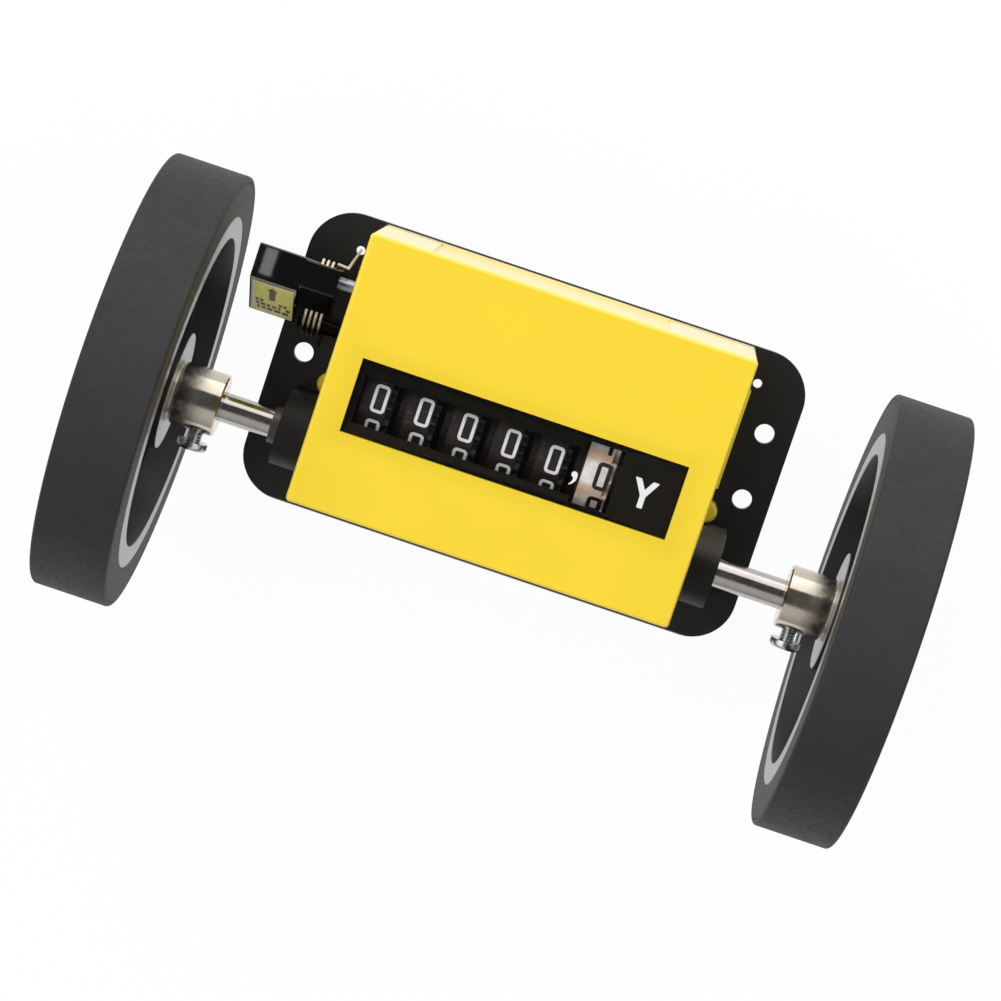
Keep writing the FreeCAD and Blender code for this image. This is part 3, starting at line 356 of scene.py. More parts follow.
def moulded(name, tint, roughness, grain=0.35 * MM, depth=6e-6, cloud=0.12, dust=0.0,
            waves=18e-6, specular=0.5, rub_and_highlight=None):
    """Moulded plastic or enamel: faint clouds, fine grain, uneven gloss and a little dust.

    Given the nodes, the last argument returns a field that is 1 where the surface is made pale: a
    pale line along the plate's upper front edge, and painted highlights on the right bearing block
    and on the lever's edges.
    """
    finish = Finish(name)
    clouds = finish.noise(9 * MM, 4).over(0.3, 0.7)
    base = finish.toned(clouds, tint, 1 - cloud, 1 + cloud)
    if dust:
        specks = finish.specks(1.7 * MM, 0.09 * MM) * finish.noise(6 * MM).over(0.45, 0.6)
        base = finish.mixed(specks * dust, base, DUST)
    if rub_and_highlight:
        base = finish.mixed(rub_and_highlight(finish) * (0.8 + clouds * 0.2), base, RUB_AND_HIGHLIGHT)
    uneven = min(0.16, 0.6 * roughness)
    return finish.close(
        Base_Color=base,
        Specular_IOR_Level=specular,
        Roughness=roughness + (finish.noise(2.2 * MM, 4) - 0.5) * uneven,
        Normal=finish.bump(finish.noise(grain), depth, finish.bump(finish.noise(5 * MM, 1), waves)),
    )


def turned_metal(name, tint, roughness, along=None, depth=2.2e-6, grain=0.16 * MM, stain=0.18,
                 pitted=0.0, edge=1.0):
    """Metal with machining lines across the way in which the field that along returns grows.

    An edge below 1 dims what the metal mirrors where it is seen at a slant.
    """
    finish = Finish(name)
    cuts = finish.lines(along(finish) if along else finish.x, grain)
    smears = finish.noise(1.6 * MM, 5, rough=0.6).over(0.3, 0.75)
    base = finish.toned(smears, tint, 1 - stain)
    height = cuts
    if pitted:
        height = cuts - finish.specks(0.5 * MM, 0.16 * MM) * pitted
    return finish.close(
        Base_Color=finish.mixed(cuts.over(0.3, 0.7), scaled(tint, 0.93), base),
        Metallic=1.0,
        Specular_Tint=(edge, edge, edge),
        Roughness=roughness + (smears - 0.5) * 0.1 + (cuts - 0.5) * 0.12,
        Normal=finish.bump(height, depth),
    )


def drawn_wire(name, tint, shaded_before=None):
    """Spring wire with drawing lines, darkened by painted shade before a place along Y if it is
    given one.
    """
    finish = Finish(name)
    lines = finish.noise(0.3 * MM, 4, rough=0.6).over(0.3, 0.7)
    base = finish.toned(lines, tint, 0.78)
    # painted shade on the front of the coil
    if shaded_before is not None:
        unshaded = finish.y.over(shaded_before - 1.1 * MM, shaded_before + 0.8 * MM)
        base = finish.mixed(unshaded, COIL_SHADE, base)
    return finish.close(Base_Color=base, Metallic=0.35, Roughness=0.3 + lines * 0.12,
                        Normal=finish.bump(lines, 2e-6))


def rubber(name, tread, side):
    """Cast rubber: mottled tread with specks and scuffs, browner ground side faces."""
    finish = Finish(name)
    out = abs(finish.x - TRACK_X) - WHEEL_INNER
    skin = 0.12 * MM
    face = (out < skin) + (out > WHEEL_WIDTH - skin)
    clouds = finish.noise(7 * MM, 5, rough=0.62).over(0.28, 0.72)
    mottle = finish.noise(1.1 * MM, 4, rough=0.7).over(0.3, 0.7)
    scuffs = finish.noise(0.9 * MM, 3, (0.35, 3, 3)).over(0.66, 0.78)
    specks = finish.specks(2.6 * MM, 0.13 * MM)
    worn = finish.toned(clouds, tread, 0.8, 1.2)
    for part, factor in ((mottle * 0.4, 1.45), (scuffs * 0.25, 2.1), (specks * 0.5, 3.2)):
        worn = finish.mixed(part, worn, scaled(tread, factor))
    rings = finish.lines(finish.from_axle(), 0.5 * MM).over(0.3, 0.7)
    ground = finish.mixed(clouds * 0.5, finish.toned(rings, side, 0.82, 1.12), scaled(side, 0.8))
    grain = finish.noise(0.32 * MM, 3, rough=0.65)
    return finish.close(
        Base_Color=finish.mixed(face, worn, ground),
        Roughness=0.66 + (mottle - 0.5) * 0.16,
        Normal=finish.bump(grain, 28e-6, finish.bump(clouds, 40e-6)),
    )


def painted_recess(name, tint):
    """Sprayed paint with a fine grain, worn thin in a few places."""
    finish = Finish(name)
    sprayed = finish.noise(0.5 * MM, 3)
    worn = finish.noise(1.4 * MM, 4).over(0.68, 0.74)
    base = finish.toned(finish.noise(8 * MM).over(0.3, 0.7), tint, 0.7, 1.3)
    return finish.close(
        Base_Color=finish.mixed(worn * 0.25, base, scaled(tint, 3)),
        Roughness=0.42 + (sprayed - 0.5) * 0.2,
        Normal=finish.bump(sprayed, 14e-6),
    )


def print_ink(name, tint, wear):
    """Pad-printed ink: slightly uneven cover and a soft grain."""
    finish = Finish(name)
    thin = finish.noise(0.5 * MM, 4).over(0.5, 0.8)
    return finish.close(
        Base_Color=finish.toned(thin * wear, tint, 1, 0.6),
        Roughness=0.55 + (thin - 0.5) * 0.1,
        Normal=finish.bump(finish.noise(0.2 * MM), 4e-6),
    )


def worn_drum(name, tint, streak, track=None, outer_finish=None):
    """Number drum: dull moulding with mottled rub marks; with a track, a painted tan reflection
    between the figures and painted shade outside the track.
    """
    finish = Finish(name)
    clouds = finish.noise(3 * MM, 5, rough=0.6).over(0.3, 0.72)
    rub = finish.noise(0.8 * MM, 4, (3, 1, 1)).over(0.58, 0.72)
    base = finish.toned(clouds, tint, 0.84 if track else 0.72, 1.2)
    base = finish.mixed(rub * 0.35, base, streak)
    if track:
        # painted reflection: tan of the yellow cover between the figures
        turn = (finish.y - DRUM_AXIS.y).math("ARCTAN2", finish.z - DRUM_AXIS.z)
        between = (turn * 10 + pi).math("COSINE").over(0.0, 1.0)
        base = finish.mixed(between * 0.6, base, REFLECTED_TAN)
        # painted shade outside the white track
        middle_x, half = sum(track) / 2, (track[1] - track[0]) / 2
        outside = abs(finish.x - middle_x).over(half - 0.12 * MM, half + 0.12 * MM)
        base = finish.mixed(outside, base, outer_finish)
    return finish.close(
        Base_Color=base,
        Specular_IOR_Level=0.3,
        Roughness=0.5 + (clouds - 0.5) * 0.2,
        Normal=finish.bump(finish.noise(0.3 * MM), 5e-6),
    )


def clear_pane(name, tint):
    """Clear plastic with a faint haze and a few scratches."""
    finish = Finish(name)
    haze = finish.noise(6 * MM, 4).over(0.4, 0.8)
    scratch = finish.noise(0.5 * MM, 2, (12, 1, 1)).over(0.76, 0.8)
    return finish.close(
        Base_Color=finish.toned(haze, tint, 1, 0.85),
        Roughness=0.12 + haze * 0.1,
        Alpha=0.04 + haze * 0.03 + scratch * 0.03,
        Normal=finish.bump(finish.noise(4 * MM, 1), 6e-6),
    )


def sticker(name, tint, edge):
    """Printed sticker: its colour stops short of its pale cut edges and fades at its foot."""
    finish = Finish(name)
    low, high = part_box("reset_label")
    rim = 0.25 * MM
    inside = (finish.x.over(low.x + rim, low.x + 1.3 * rim)
              * finish.x.over(high.x - rim, high.x - 1.3 * rim)
              * finish.z.over(low.z + 3 * rim, low.z + 7 * rim)
              * finish.z.over(high.z - rim, high.z - 1.3 * rim))
    clouds = finish.noise(2 * MM, 4)
    printed = finish.toned(clouds.over(0.3, 0.7), tint, 0.84, 1.06)
    return finish.close(
        Base_Color=finish.mixed(inside, edge, printed),
        Roughness=0.34 + clouds * 0.16,
        Normal=finish.bump(finish.noise(0.6 * MM), 9e-6),
    )


# ---- meshes


def linked(name, data):
    """A new object in the scene."""
    made = bpy.data.objects.new(name, data)
    bpy.context.scene.collection.objects.link(made)
    return made


def as_mesh(name, bm):
    """A mesh from a bmesh, which is freed."""
    mesh = bpy.data.meshes.new(name)
    bm.to_mesh(mesh)
    bm.free()
    return mesh


def placed(name, mesh, materials, body, slot, *replaced):
    """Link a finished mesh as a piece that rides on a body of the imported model."""
    piece = linked(name, mesh)
    for material in materials:
        mesh.materials.append(material)
    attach(piece, body)
    if replaced:
        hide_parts(*replaced)
    return piece


def even_shading(piece, sharp):
    """Smooth shading that keeps flat faces flat and edges sharper than so many degrees crisp."""
    mesh = piece.data
    mesh.shade_smooth()
    mesh.set_sharp_from_angle(angle=radians(sharp))
    weighted = piece.modifiers.new("even_shading", "WEIGHTED_NORMAL")
    weighted.keep_sharp = True


def rounded(corners, closed=True, steps=5):
    """An outline through corners (x, y, radius), each rounded by its radius."""
    outline = []
    last = len(corners) - 1
    for index, (x, y, radius) in enumerate(corners):
        corner = Vector((x, y))
        if radius == 0 or not closed and index in (0, last):
            outline.append(corner)
            continue
        back = (Vector(corners[index - 1][:2]) - corner).normalized()
        ahead = (Vector(corners[(index + 1) % (last + 1)][:2]) - corner).normalized()
        half = back.angle(ahead) / 2
        centre = corner + (back + ahead).normalized() * radius / sin(half)
        start = corner + back * radius / tan(half) - centre
        end = corner + ahead * radius / tan(half) - centre
        first = atan2(start.y, start.x)
        sweep = remainder(atan2(end.y, end.x) - first, tau)
        for step in range(steps + 1):
            angle = first + sweep * step / steps
            outline.append(centre + radius * Vector((cos(angle), sin(angle))))
    return outline


def revolved(outline, place, segments, closed=True, painted=None):
    """A mesh swept round its own X axis from points (along, radius), then set in place."""
    bm = bmesh.new()
    verts = [bm.verts.new((along, radius, 0)) for along, radius in outline]
    ends = verts[1:] + verts[:1] if closed else verts[1:]
    edges = [bm.edges.new(pair) for pair in zip(verts, ends)]
    bmesh.ops.spin(bm, geom=verts + edges, axis=(1, 0, 0), cent=(0, 0, 0), angle=tau,
                   steps=segments, use_merge=True)
    bmesh.ops.remove_doubles(bm, verts=bm.verts, dist=1e-7)
    if painted:
        for face in bm.faces:
            centre = face.calc_center_median()
            face.material_index = painted(centre.x, hypot(centre.y, centre.z))
    bm.transform(place)
    bmesh.ops.recalc_face_normals(bm, faces=bm.faces)
    return as_mesh("revolved", bm)


def turned_pair(name, node, near, materials, slot, painted=None):
    """Turn a piece of each wheel from the inner half of its outline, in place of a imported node.

    The outline's points (out, radius, rounding) start at the wheel's inner face.
    """
    far = [(WHEEL_WIDTH - out, radius, rounding) for out, radius, rounding in reversed(near)]
    for side, sign in SIDES.items():
        place = (Matrix.Translation((TRACK_X + sign * WHEEL_INNER, AXLE.y, AXLE.z))
                 @ Matrix.Diagonal((sign, 1, 1, 1)))
        mesh = revolved(rounded(near + far), place, segments=240, painted=painted)
        piece = placed(f"{side}_{name}", mesh, materials, "axle_and_wheels", slot,
                       f"{side}_{node}")
        even_shading(piece, sharp=35)


def to_path(x, y, path):
    """Distance from a point to a line of straight runs."""
    nearest = 1.0
    for a, b in zip(path, path[1:]):
        along = b - a
        reach = max(0.0, min(1.0, ((x - a.x) * along.x + (y - a.y) * along.y)
                             / along.length_squared))
        nearest = min(nearest, hypot(x - a.x - along.x * reach, y - a.y - along.y * reach))
    return nearest


def printed_patch(inside, half_width, half_height, cell):
    """Faces of the flat patch where inside(x, y) is above 0, on a grid fine enough to bend.

    Each grid square is cut where the value crosses 0, so outlines are smooth.
    """
    columns, rows = (ceil(2 * half / cell) + 2 for half in (half_width, half_height))
    x0, y0 = -columns * cell / 2, -rows * cell / 2
    value = [[inside(x0 + i * cell, y0 + j * cell) for j in range(rows + 1)]
             for i in range(columns + 1)]
    points, known, faces = [], {}, []

    def point(key, x, y):
        if key not in known:
            known[key] = len(points)
            points.append((x, y))
        return known[key]

    for i in range(columns):
        for j in range(rows):
            square = ((i, j), (i + 1, j), (i + 1, j + 1), (i, j + 1))
            face = []
            for near, far in zip(square, square[1:] + square[:1]):
                a, b = (value[p][q] for p, q in (near, far))
                if a > 0:
                    face.append(point(near, x0 + near[0] * cell, y0 + near[1] * cell))
                if (a > 0) != (b > 0):
                    cross = min(0.98, max(0.02, a / (a - b)))
                    face.append(point(frozenset((near, far)),
                                      x0 + (near[0] + (far[0] - near[0]) * cross) * cell,
                                      y0 + (near[1] + (far[1] - near[1]) * cross) * cell))
            if len(face) > 2:
                faces.append(face)
    return points, faces


def thickened(patches, name):
    """One mesh of closed slabs from (points, faces, lift), lift(x, y, top) placing each point."""
    verts, faces = [], []
    for points, patch, lift in patches:
        low = len(verts)
        high = low + len(points)
        verts += [lift(x, y, False) for x, y in points] + [lift(x, y, True) for x, y in points]
        edges = {(a, b) for face in patch for a, b in zip(face, face[1:] + face[:1])}
        for face in patch:
            faces.append([high + k for k in face])
            faces.append([low + k for k in reversed(face)])
        faces += [(low + a, low + b, high + b, high + a) for a, b in sorted(edges)
                  if (b, a) not in edges]
    mesh = bpy.data.meshes.new(name)
    mesh.from_pydata(verts, [], faces)
    mesh.validate()
    mesh.update()
    return mesh


# the lines of the figures 0 to 9, as corners on a square from -1 to 1; a line that ends where
# it starts is closed
FIGURES = (
    [[(-1, -1), (1, -1), (1, 1), (-1, 1), (-1, -1)]],
    [[(-0.62, 0.6), (0, 1), (0, -1)]],
    [[(-1, 0.5), (-1, 1), (1, 1), (1, 0.12), (-1, -0.72), (-1, -1), (1, -1)]],
    [[(-1, 0.6), (-1, 1), (1, 1), (1, 0.05), (-0.3, 0.05)],
     [(-0.3, 0.05), (1, 0.05), (1, -1), (-1, -1), (-1, -0.6)]],
    [[(0.4, 1), (-1, -0.45), (1, -0.45)], [(0.4, 1), (0.4, -1)]],
    [[(0.9, 1), (-1, 1), (-1, 0.12), (1, 0.12), (1, -1), (-1, -1), (-1, -0.6)]],
    [[(-1, -1), (1, -1), (1, 0.12), (-1, 0.12), (-1, -1)],
     [(-1, -0.5), (-1, 1), (1, 1), (1, 0.62)]],
    [[(-1, 1), (1, 1), (1, 0.6), (-0.25, -1)]],
    [[(-1, -1), (1, -1), (1, 0.04), (-1, 0.04), (-1, -1)],
     [(-0.94, 0.04), (0.94, 0.04), (0.94, 1), (-0.94, 1), (-0.94, 0.04)]],
    [[(-1, -0.12), (1, -0.12), (1, 1), (-1, 1), (-1, -0.12)],
     [(1, 0.5), (1, -1), (-1, -1), (-1, -0.62)]],
)


def figure_patch(lines, prints, stroke):
    """The flat patch of one figure, in rounded lines of even width."""
    half_x, half_y = (prints.width - stroke) / 2, (prints.height - stroke) / 2
    paths = []
    for line in lines:
        corners = [(x * half_x, y * half_y, prints.corner) for x, y in line]
        if line[0] == line[-1]:
            path = rounded(corners[:-1], steps=4)
            paths.append(path + path[:1])
        else:
            paths.append(rounded(corners, closed=False, steps=4))
    return printed_patch(
        lambda x, y: stroke / 2 - min(to_path(x, y, path) for path in paths),
        prints.width / 2, prints.height / 2, prints.cell)


# ---- operators


class CounterOperator:
    """What all the counter's operators share."""
    bl_options = {"REGISTER", "UNDO"}

    def execute(self, context):
        settings = context.scene.length_counter
        self.make(settings, settings.colours)
        return {"FINISHED"}


def dress(material, *nodes):
    """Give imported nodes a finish."""
    for node in nodes:
        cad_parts[node].material_slots[0].material = material


class COUNTER_OT_tyres(CounterOperator, bpy.types.Operator):
    """Make the rubber tyres with rounded shoulders and a fine groove beside them"""
    bl_idname = "counter.tyres"
    bl_label = "Tyres"

    def make(self, settings, colours):
        groove, shoulder = settings.wheels.groove, settings.wheels.shoulder
        beside = TYRE_RADIUS - shoulder - 1.5 * groove
        near = [(0, WHEEL_RADIUS, 0.15 * MM), (0, beside - groove, 0),
                (groove, beside - groove / 2, 0), (0, beside, 0), (0, TYRE_RADIUS, shoulder)]
        material = rubber("tyre_rubber_cast", colours.tread, colours.tyre_side)
        turned_pair("cast_tyre", "tyre", near, [material], "tyre_rubber")


class COUNTER_OT_wheels(CounterOperator, bpy.types.Operator):
    """Make the wheels with machined faces and black-painted recesses"""
    bl_idname = "counter.wheels"
    bl_label = "Wheels"

    def make(self, settings, colours):
        sizes = settings.wheels
        outer_finish = turned_metal("wheel_aluminium_turned", colours.aluminium, roughness=0.34,
                            along=Nodes.from_axle, depth=5e-6, grain=0.3 * MM, stain=0.34,
                            edge=0.85)
        paint = painted_recess("wheel_recess_paint", colours.recess)
        centre = WHEEL_WIDTH / 2
        rim, web, boss = sizes.rim_inner, sizes.rim_inner - sizes.draft, sizes.boss_radius
        web_face, boss_face = centre - sizes.web / 2, centre - sizes.boss_length / 2
        near = [(boss_face, sizes.bore, sizes.edge), (boss_face, boss, sizes.edge),
                (web_face, boss, sizes.fillet), (web_face, web, sizes.fillet),
                (0, rim, sizes.edge), (0, WHEEL_RADIUS, sizes.edge)]
        skin = 0.1 * MM

        def painted(out, radius):
            """1 in the recesses, 0 on the machined faces, in the bore and under the tyre."""
            depth = centre - abs(out - centre)
            on_face = depth < skin or radius < boss and depth < boss_face + skin
            return 0 if on_face or radius > WHEEL_RADIUS - skin / 2 or radius < boss / 2 else 1

        turned_pair("machined_wheel", "wheel", near, [outer_finish, paint], "wheel_aluminium", painted)


class COUNTER_OT_set_screws(CounterOperator, bpy.types.Operator):
    """Make the hubs' set screws with cut threads, pan heads and driver slots"""
    bl_idname = "counter.set_screws"
    bl_label = "Set screws"

    def make(self, settings, colours):
        sizes = settings.screws
        materials = [turned_metal("screw_zinc_bright", colours.zinc, roughness=0.26,
                                  along=lambda nodes: nodes.y, depth=2e-6, grain=0.2 * MM,
                                  stain=0.3)]
        low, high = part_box("right_set_screw")
        head_y, overlap = low.y + sizes.head, 0.2 * MM
        for side, sign in SIDES.items():
            x = TRACK_X + sign * SCREW_X
            place = Matrix.Translation((x, head_y, AXLE.z)) @ Matrix.Rotation(-pi / 2, 4, "Z")
            mesh = self.slotted_head(sizes, (high.x - low.x) / 2, place)
            head = placed(f"{side}_screw_head", mesh, materials, "axle_and_wheels", "screw_zinc")
            even_shading(head, sharp=30)
            mesh = self.threaded_shank(sizes, x, high.y, head_y - overlap)
            shank = placed(f"{side}_screw_thread", mesh, materials, "axle_and_wheels",
                           "screw_zinc", f"{side}_set_screw")
            even_shading(shank, sharp=60)

    def threaded_shank(self, sizes, x, start, end):
        """A shank along Y whose thread has slightly hollow flanks."""
        rings, around, hollow = 90, 36, 0.8
        bm = bmesh.new()
        grid = []
        for i in range(rings + 1):
            y = start + (end - start) * i / rings
            ring = []
            for k in range(around):
                angle = tau * k / around
                phase = ((start - y) / sizes.pitch - k / around) % 1
                radius = sizes.shank - sizes.thread * abs(2 * phase - 1) ** hollow
                ring.append(bm.verts.new((x + radius * cos(angle), y,
                                          AXLE.z + radius * sin(angle))))
            grid.append(ring)
        for here, there in zip(grid, grid[1:]):
            for k in range(around):
                j = (k + 1) % around
                bm.faces.new((here[k], here[j], there[j], there[k]))
        for ring in (grid[0], grid[-1]):
            bm.faces.new(ring)
        bmesh.ops.recalc_face_normals(bm, faces=bm.faces)
        return as_mesh("thread", bm)

    def slotted_head(self, sizes, radius, place):
        """A pan head along its own X axis, its slot cut across the far end."""
        height = sizes.head
        outline = rounded([(0, 0, 0), (0, radius, 0.12 * MM), (height, radius, 0.8 * MM),
                           (height, 0, 0)], closed=False)
        blank = revolved(outline, Matrix.Identity(4), segments=64, closed=False)
        head = linked("head_blank", blank)
        bm = bmesh.new()
        bmesh.ops.create_cube(bm, size=1, matrix=Matrix.Translation((height, 0, 0))
                              @ Matrix.Diagonal((2 * sizes.slot_depth, 3 * radius, sizes.slot, 1)))
        cutter = linked("slot_cutter", as_mesh("slot_cutter", bm))
        cut = head.modifiers.new("slot", "BOOLEAN")
        cut.object, cut.solver = cutter, "EXACT"
        shape = bpy.context.evaluated_depsgraph_get()
        mesh = bpy.data.meshes.new_from_object(head.evaluated_get(shape))
        for part in (head, cutter):
            bpy.data.objects.remove(part)
        mesh.transform(place)
        return mesh


class COUNTER_OT_axle(CounterOperator, bpy.types.Operator):
    """Finish the axle, its hubs, collars and bushes, and the shafts inside"""
    bl_idname = "counter.axle"
    bl_label = "Axle and hubs"

    def make(self, settings, colours):
        dress(turned_metal("hub_nickel_turned", colours.nickel, roughness=0.16),
              "left_hub", "right_hub")
        dress(turned_metal("ground_steel_bright", colours.steel, roughness=0.14, depth=1.2e-6),
              "axle", "drum_shaft", "pinion_shaft", "tie_bars")
        dress(turned_metal("shaft_steel_oiled", colours.shaft, roughness=0.3), "reset_shaft")
        dress(turned_metal("pin_steel_blackened", colours.pin, roughness=0.45, edge=0.4),
              "front_spring_pin")
        dress(turned_metal("collar_steel_dark", colours.collar, roughness=0.42), "thrust_collars")
        dress(turned_metal("bush_bronze_sintered", colours.bronze, roughness=0.45, depth=6e-6,
                           pitted=0.8), "left_bush", "right_bush")


class COUNTER_OT_plate(CounterOperator, bpy.types.Operator):
    """Finish the base plate and the screws under it"""
    bl_idname = "counter.plate"
    bl_label = "Base plate"

    def make(self, settings, colours):
        low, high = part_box("base_plate")

        def arris(finish):
            """The plate's upper front edge."""
            return ((1 - finish.y.over(low.y + 0.16 * MM, low.y + 0.28 * MM))
                    * finish.z.over(high.z - 0.2 * MM, high.z - 0.1 * MM))

        dress(moulded("plate_enamel_black", colours.plate, roughness=0.4, grain=0.5 * MM,
                      depth=7e-6, cloud=0.15, dust=0.5, specular=0.4, rub_and_highlight=arris), "base_plate")
        dress(turned_metal("screw_zinc_under", colours.zinc, roughness=0.3,
                           along=Nodes.from_axle), "frame_screws", "cover_screws")


class COUNTER_OT_frames(CounterOperator, bpy.types.Operator):
    """Finish the side frames and the sleeves on their shafts"""
    bl_idname = "counter.frames"
    bl_label = "Side frames"

    def make(self, settings, colours):
        def block_highlight(finish):
            """The right bearing block behind the axle, where a highlight is painted pale."""
            rear = finish.y.over(AXLE.y + 2 * MM, AXLE.y + 6 * MM)
            return rear * (finish.x > 0) * 0.26

        dress(moulded("frame_moulding_black", colours.moulding, roughness=0.5, grain=0.4 * MM,
                      depth=9e-6, cloud=0.15, dust=0.3, specular=0.25, rub_and_highlight=block_highlight),
              "left_frame", "right_frame", "drum_spacers", "pinion_spacers")


class COUNTER_OT_cover(CounterOperator, bpy.types.Operator):
    """Finish the yellow cover"""
    bl_idname = "counter.cover"
    bl_label = "Cover"

    lever_y = 7.5 * MM                                # where the reset lever's shade is painted on the cover
    ledge_height = 2.45 * MM                          # at the foot of the rear wall

    def make(self, settings, colours):
        finish = Finish("cover_moulding_yellow")
        tint = colours.cover
        clouds = finish.noise(16 * MM, 3).over(0.3, 0.7)
        marks = finish.noise(0.7 * MM, 3, (9, 1, 1)).over(0.7, 0.78)
        dust = finish.specks(4 * MM, 0.12 * MM) * finish.noise(11 * MM).over(0.5, 0.62)
        low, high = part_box("cover")
        glare = self.glare(finish, low.z, high.y)
        base = finish.toned(clouds, tint, 0.975)
        # marks and dust, painted shade beside the window and beside the lever, and a painted pale
        # reflection on the rear wall
        for part, over in ((marks * 0.1, scaled(tint, 0.8)), (dust * 0.35, scaled(tint, 0.62)),
                           (self.beside_window(finish) * 0.3, scaled(tint, 0.72)),
                           (self.by_lever(finish, low.x) * 0.5, LEVER_SHADE), (glare, GLARE_CREAM)):
            base = finish.mixed(part, base, over)
        peel = finish.bump(finish.noise(7 * MM, 1), 12e-6)
        material = finish.close(
            Base_Color=base,
            Roughness=0.12 + (finish.noise(3 * MM, 4) - 0.5) * 0.06 + marks * 0.06 + glare * 0.3,
            Normal=finish.bump(finish.noise(0.55 * MM), 3e-6, peel),
        )
        dress(material, "cover")

    def beside_window(self, finish):
        """1 at the window's edge, fading out over 5 mm: painted shade round the window."""
        low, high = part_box("window_mask")
        centre, half = (low + high) / 2, (high - low) / 2
        across, along = abs(finish.x - centre.x) - half.x, abs(finish.y - centre.y) - half.y
        return 1 - across.math("MAXIMUM", along).over(0, 5 * MM)

    def by_lever(self, finish, left):
        """1 on the left side beside the reset lever, fading out over 4 mm, slower along Y: the
        lever's painted shade on the cover.
        """
        aside, beyond = finish.x - left, (finish.y - self.lever_y) * 0.7
        return 1 - (aside * aside + beyond * beyond).math("SQRT").over(0, 4 * MM)

    def glare(self, finish, bottom, rear):
        """The painted pale reflection on the rear wall's shallow panel and on the ledge at its
        foot.
        """
        panel = (finish.y > rear - 0.5 * MM) * (finish.y < rear - 0.4 * MM)
        ledge = (finish.y > rear - 0.44 * MM) * (finish.z < bottom + self.ledge_height)
        return panel * 0.3 + ledge * 0.75


class COUNTER_OT_window(CounterOperator, bpy.types.Operator):
    """Finish the window and print the comma and the unit letter under its pane"""
    bl_idname = "counter.window"
    bl_label = "Window"

    comma_place = (13.81 * MM, -10.51 * MM)
    letter_place = (28.62 * MM, -9.09 * MM)

    def make(self, settings, colours):
        prints = settings.prints
        dress(moulded("mask_print_black", colours.mask, roughness=0.55, grain=0.3 * MM,
                      depth=4e-6, cloud=0.2, specular=0.15), "window_mask")
        dress(clear_pane("pane_clear", colours.pane), "window_pane")
        ink = print_ink("window_ink_white", colours.figure, wear=0.06)
        for name, patch, place in (("decimal_comma", self.comma(prints), self.comma_place),
                                   ("unit_letter", self.letter(prints), self.letter_place)):
            mesh = thickened([(*patch, self.on_mask(*place, prints))], name)
            placed(name, mesh, [ink], "housing", "drum_white")

    def on_mask(self, x, y, prints):
        """Lays a flat point on the mask, round the place x, y."""
        def lift(px, py, top):
            return x + px, y + py, MASK_TOP + (prints.ink if top else -prints.ink)
        return lift

    def comma(self, prints):
        """A round dot whose tail thins towards the lower left."""
        dot, dot_x, dot_y = 0.66 * MM, 0.02 * MM, 0.75 * MM
        tail = [Vector(p) * MM for p in ((0.36, 0.6), (0.34, -0.35), (-0.1, -1.2), (-0.5, -1.5))]
        tail_half, tail_length = 0.38 * MM, 2.2 * MM

        def inside(x, y):
            thin = tail_half * max(0.25, 1 + min(0.0, y) / tail_length)
            return max(dot - hypot(x - dot_x, y - dot_y), thin - to_path(x, y, tail))

        return printed_patch(inside, 1.1 * MM, 2 * MM, prints.cell * 0.7)

    def letter(self, prints):
        """A plain capital Y with its lines cut level at top and foot."""
        half_x, half_y = prints.letter_width / 2, prints.letter_height / 2
        fork = Vector((0, -0.1 * half_y))
        reach = half_x - 0.62 * prints.letter_stroke
        lines = [[fork, Vector((0, -2 * half_y))]]
        lines += [[fork, fork + (Vector((sign * reach, half_y)) - fork) * 1.5]
                  for sign in (-1, 1)]

        def inside(x, y):
            line = prints.letter_stroke / 2 - min(to_path(x, y, path) for path in lines)
            return min(line, half_y - abs(y))

        return printed_patch(inside, half_x, half_y, prints.cell)


class COUNTER_OT_drums(CounterOperator, bpy.types.Operator):
    """Finish the number drums and print ten figures round each"""
    bl_idname = "counter.drums"
    bl_label = "Number drums"

    rest_turn = (2.2, 3.4, 2.6, 1.6, 0.0, -0.9)       # degrees, where the drums stopped
    figure_middle = (-29.46, -19.86, -10.26, -0.66, 8.94, 19.5)         # mm along the axle
    white_track = (15.15, 21.8)

    def make(self, settings, colours):
        prints = settings.prints
        black = worn_drum("drum_moulding_black", colours.drum, BLACK_STREAK)
        white = worn_drum("drum_moulding_white", colours.white_drum, WHITE_STREAK,
                          [x * MM for x in self.white_track], colours.rim_shade)
        light = print_ink("drum_ink_white", colours.figure, wear=0.16)
        dark = print_ink("drum_ink_dark", colours.dark_figure, wear=0.2)
        light_patches, dark_patches = (
            [figure_patch(lines, prints, stroke) for lines in FIGURES]
            for stroke in (prints.stroke, prints.dark_stroke))
        for drum, turn, x in zip(DRUMS, self.rest_turn, self.figure_middle):
            tenths = drum == "tenths"
            dress(white if tenths else black, f"drum_{drum}")
            patches = dark_patches if tenths else light_patches
            around = [(*patch, self.wrapped(x * MM, radians(turn + 36 * figure), prints))
                      for figure, patch in enumerate(patches)]
            mesh = thickened(around, f"figures_{drum}")
            placed(f"figures_{drum}", mesh, [dark if tenths else light], f"{drum}_drum",
                   "drum_black" if tenths else "drum_white")

    def wrapped(self, x, turn, prints):
        """Lays a flat point on a drum, turn radians from the top towards the rear."""
        def lift(px, py, top):
            radius = DRUM_RADIUS + (prints.ink if top else -prints.ink)
            angle = turn + py / DRUM_RADIUS
            return x + px, DRUM_AXIS.y + radius * sin(angle), DRUM_AXIS.z + radius * cos(angle)
        return lift


class COUNTER_OT_gears(CounterOperator, bpy.types.Operator):
    """Finish the drive pinion, the input gear and the carry pinions"""
    bl_idname = "counter.gears"
    bl_label = "Gears"

    def make(self, settings, colours):
        dress(turned_metal("gear_brass_hobbed", colours.brass, roughness=0.3), "drive_pinion")
        dress(moulded("gear_acetal_white", colours.acetal, roughness=0.45, grain=0.5 * MM,
                      depth=8e-6, cloud=0.06),
              "input_gear", *(f"carry_pinion_{drum}" for drum in DRUMS[:-1]))


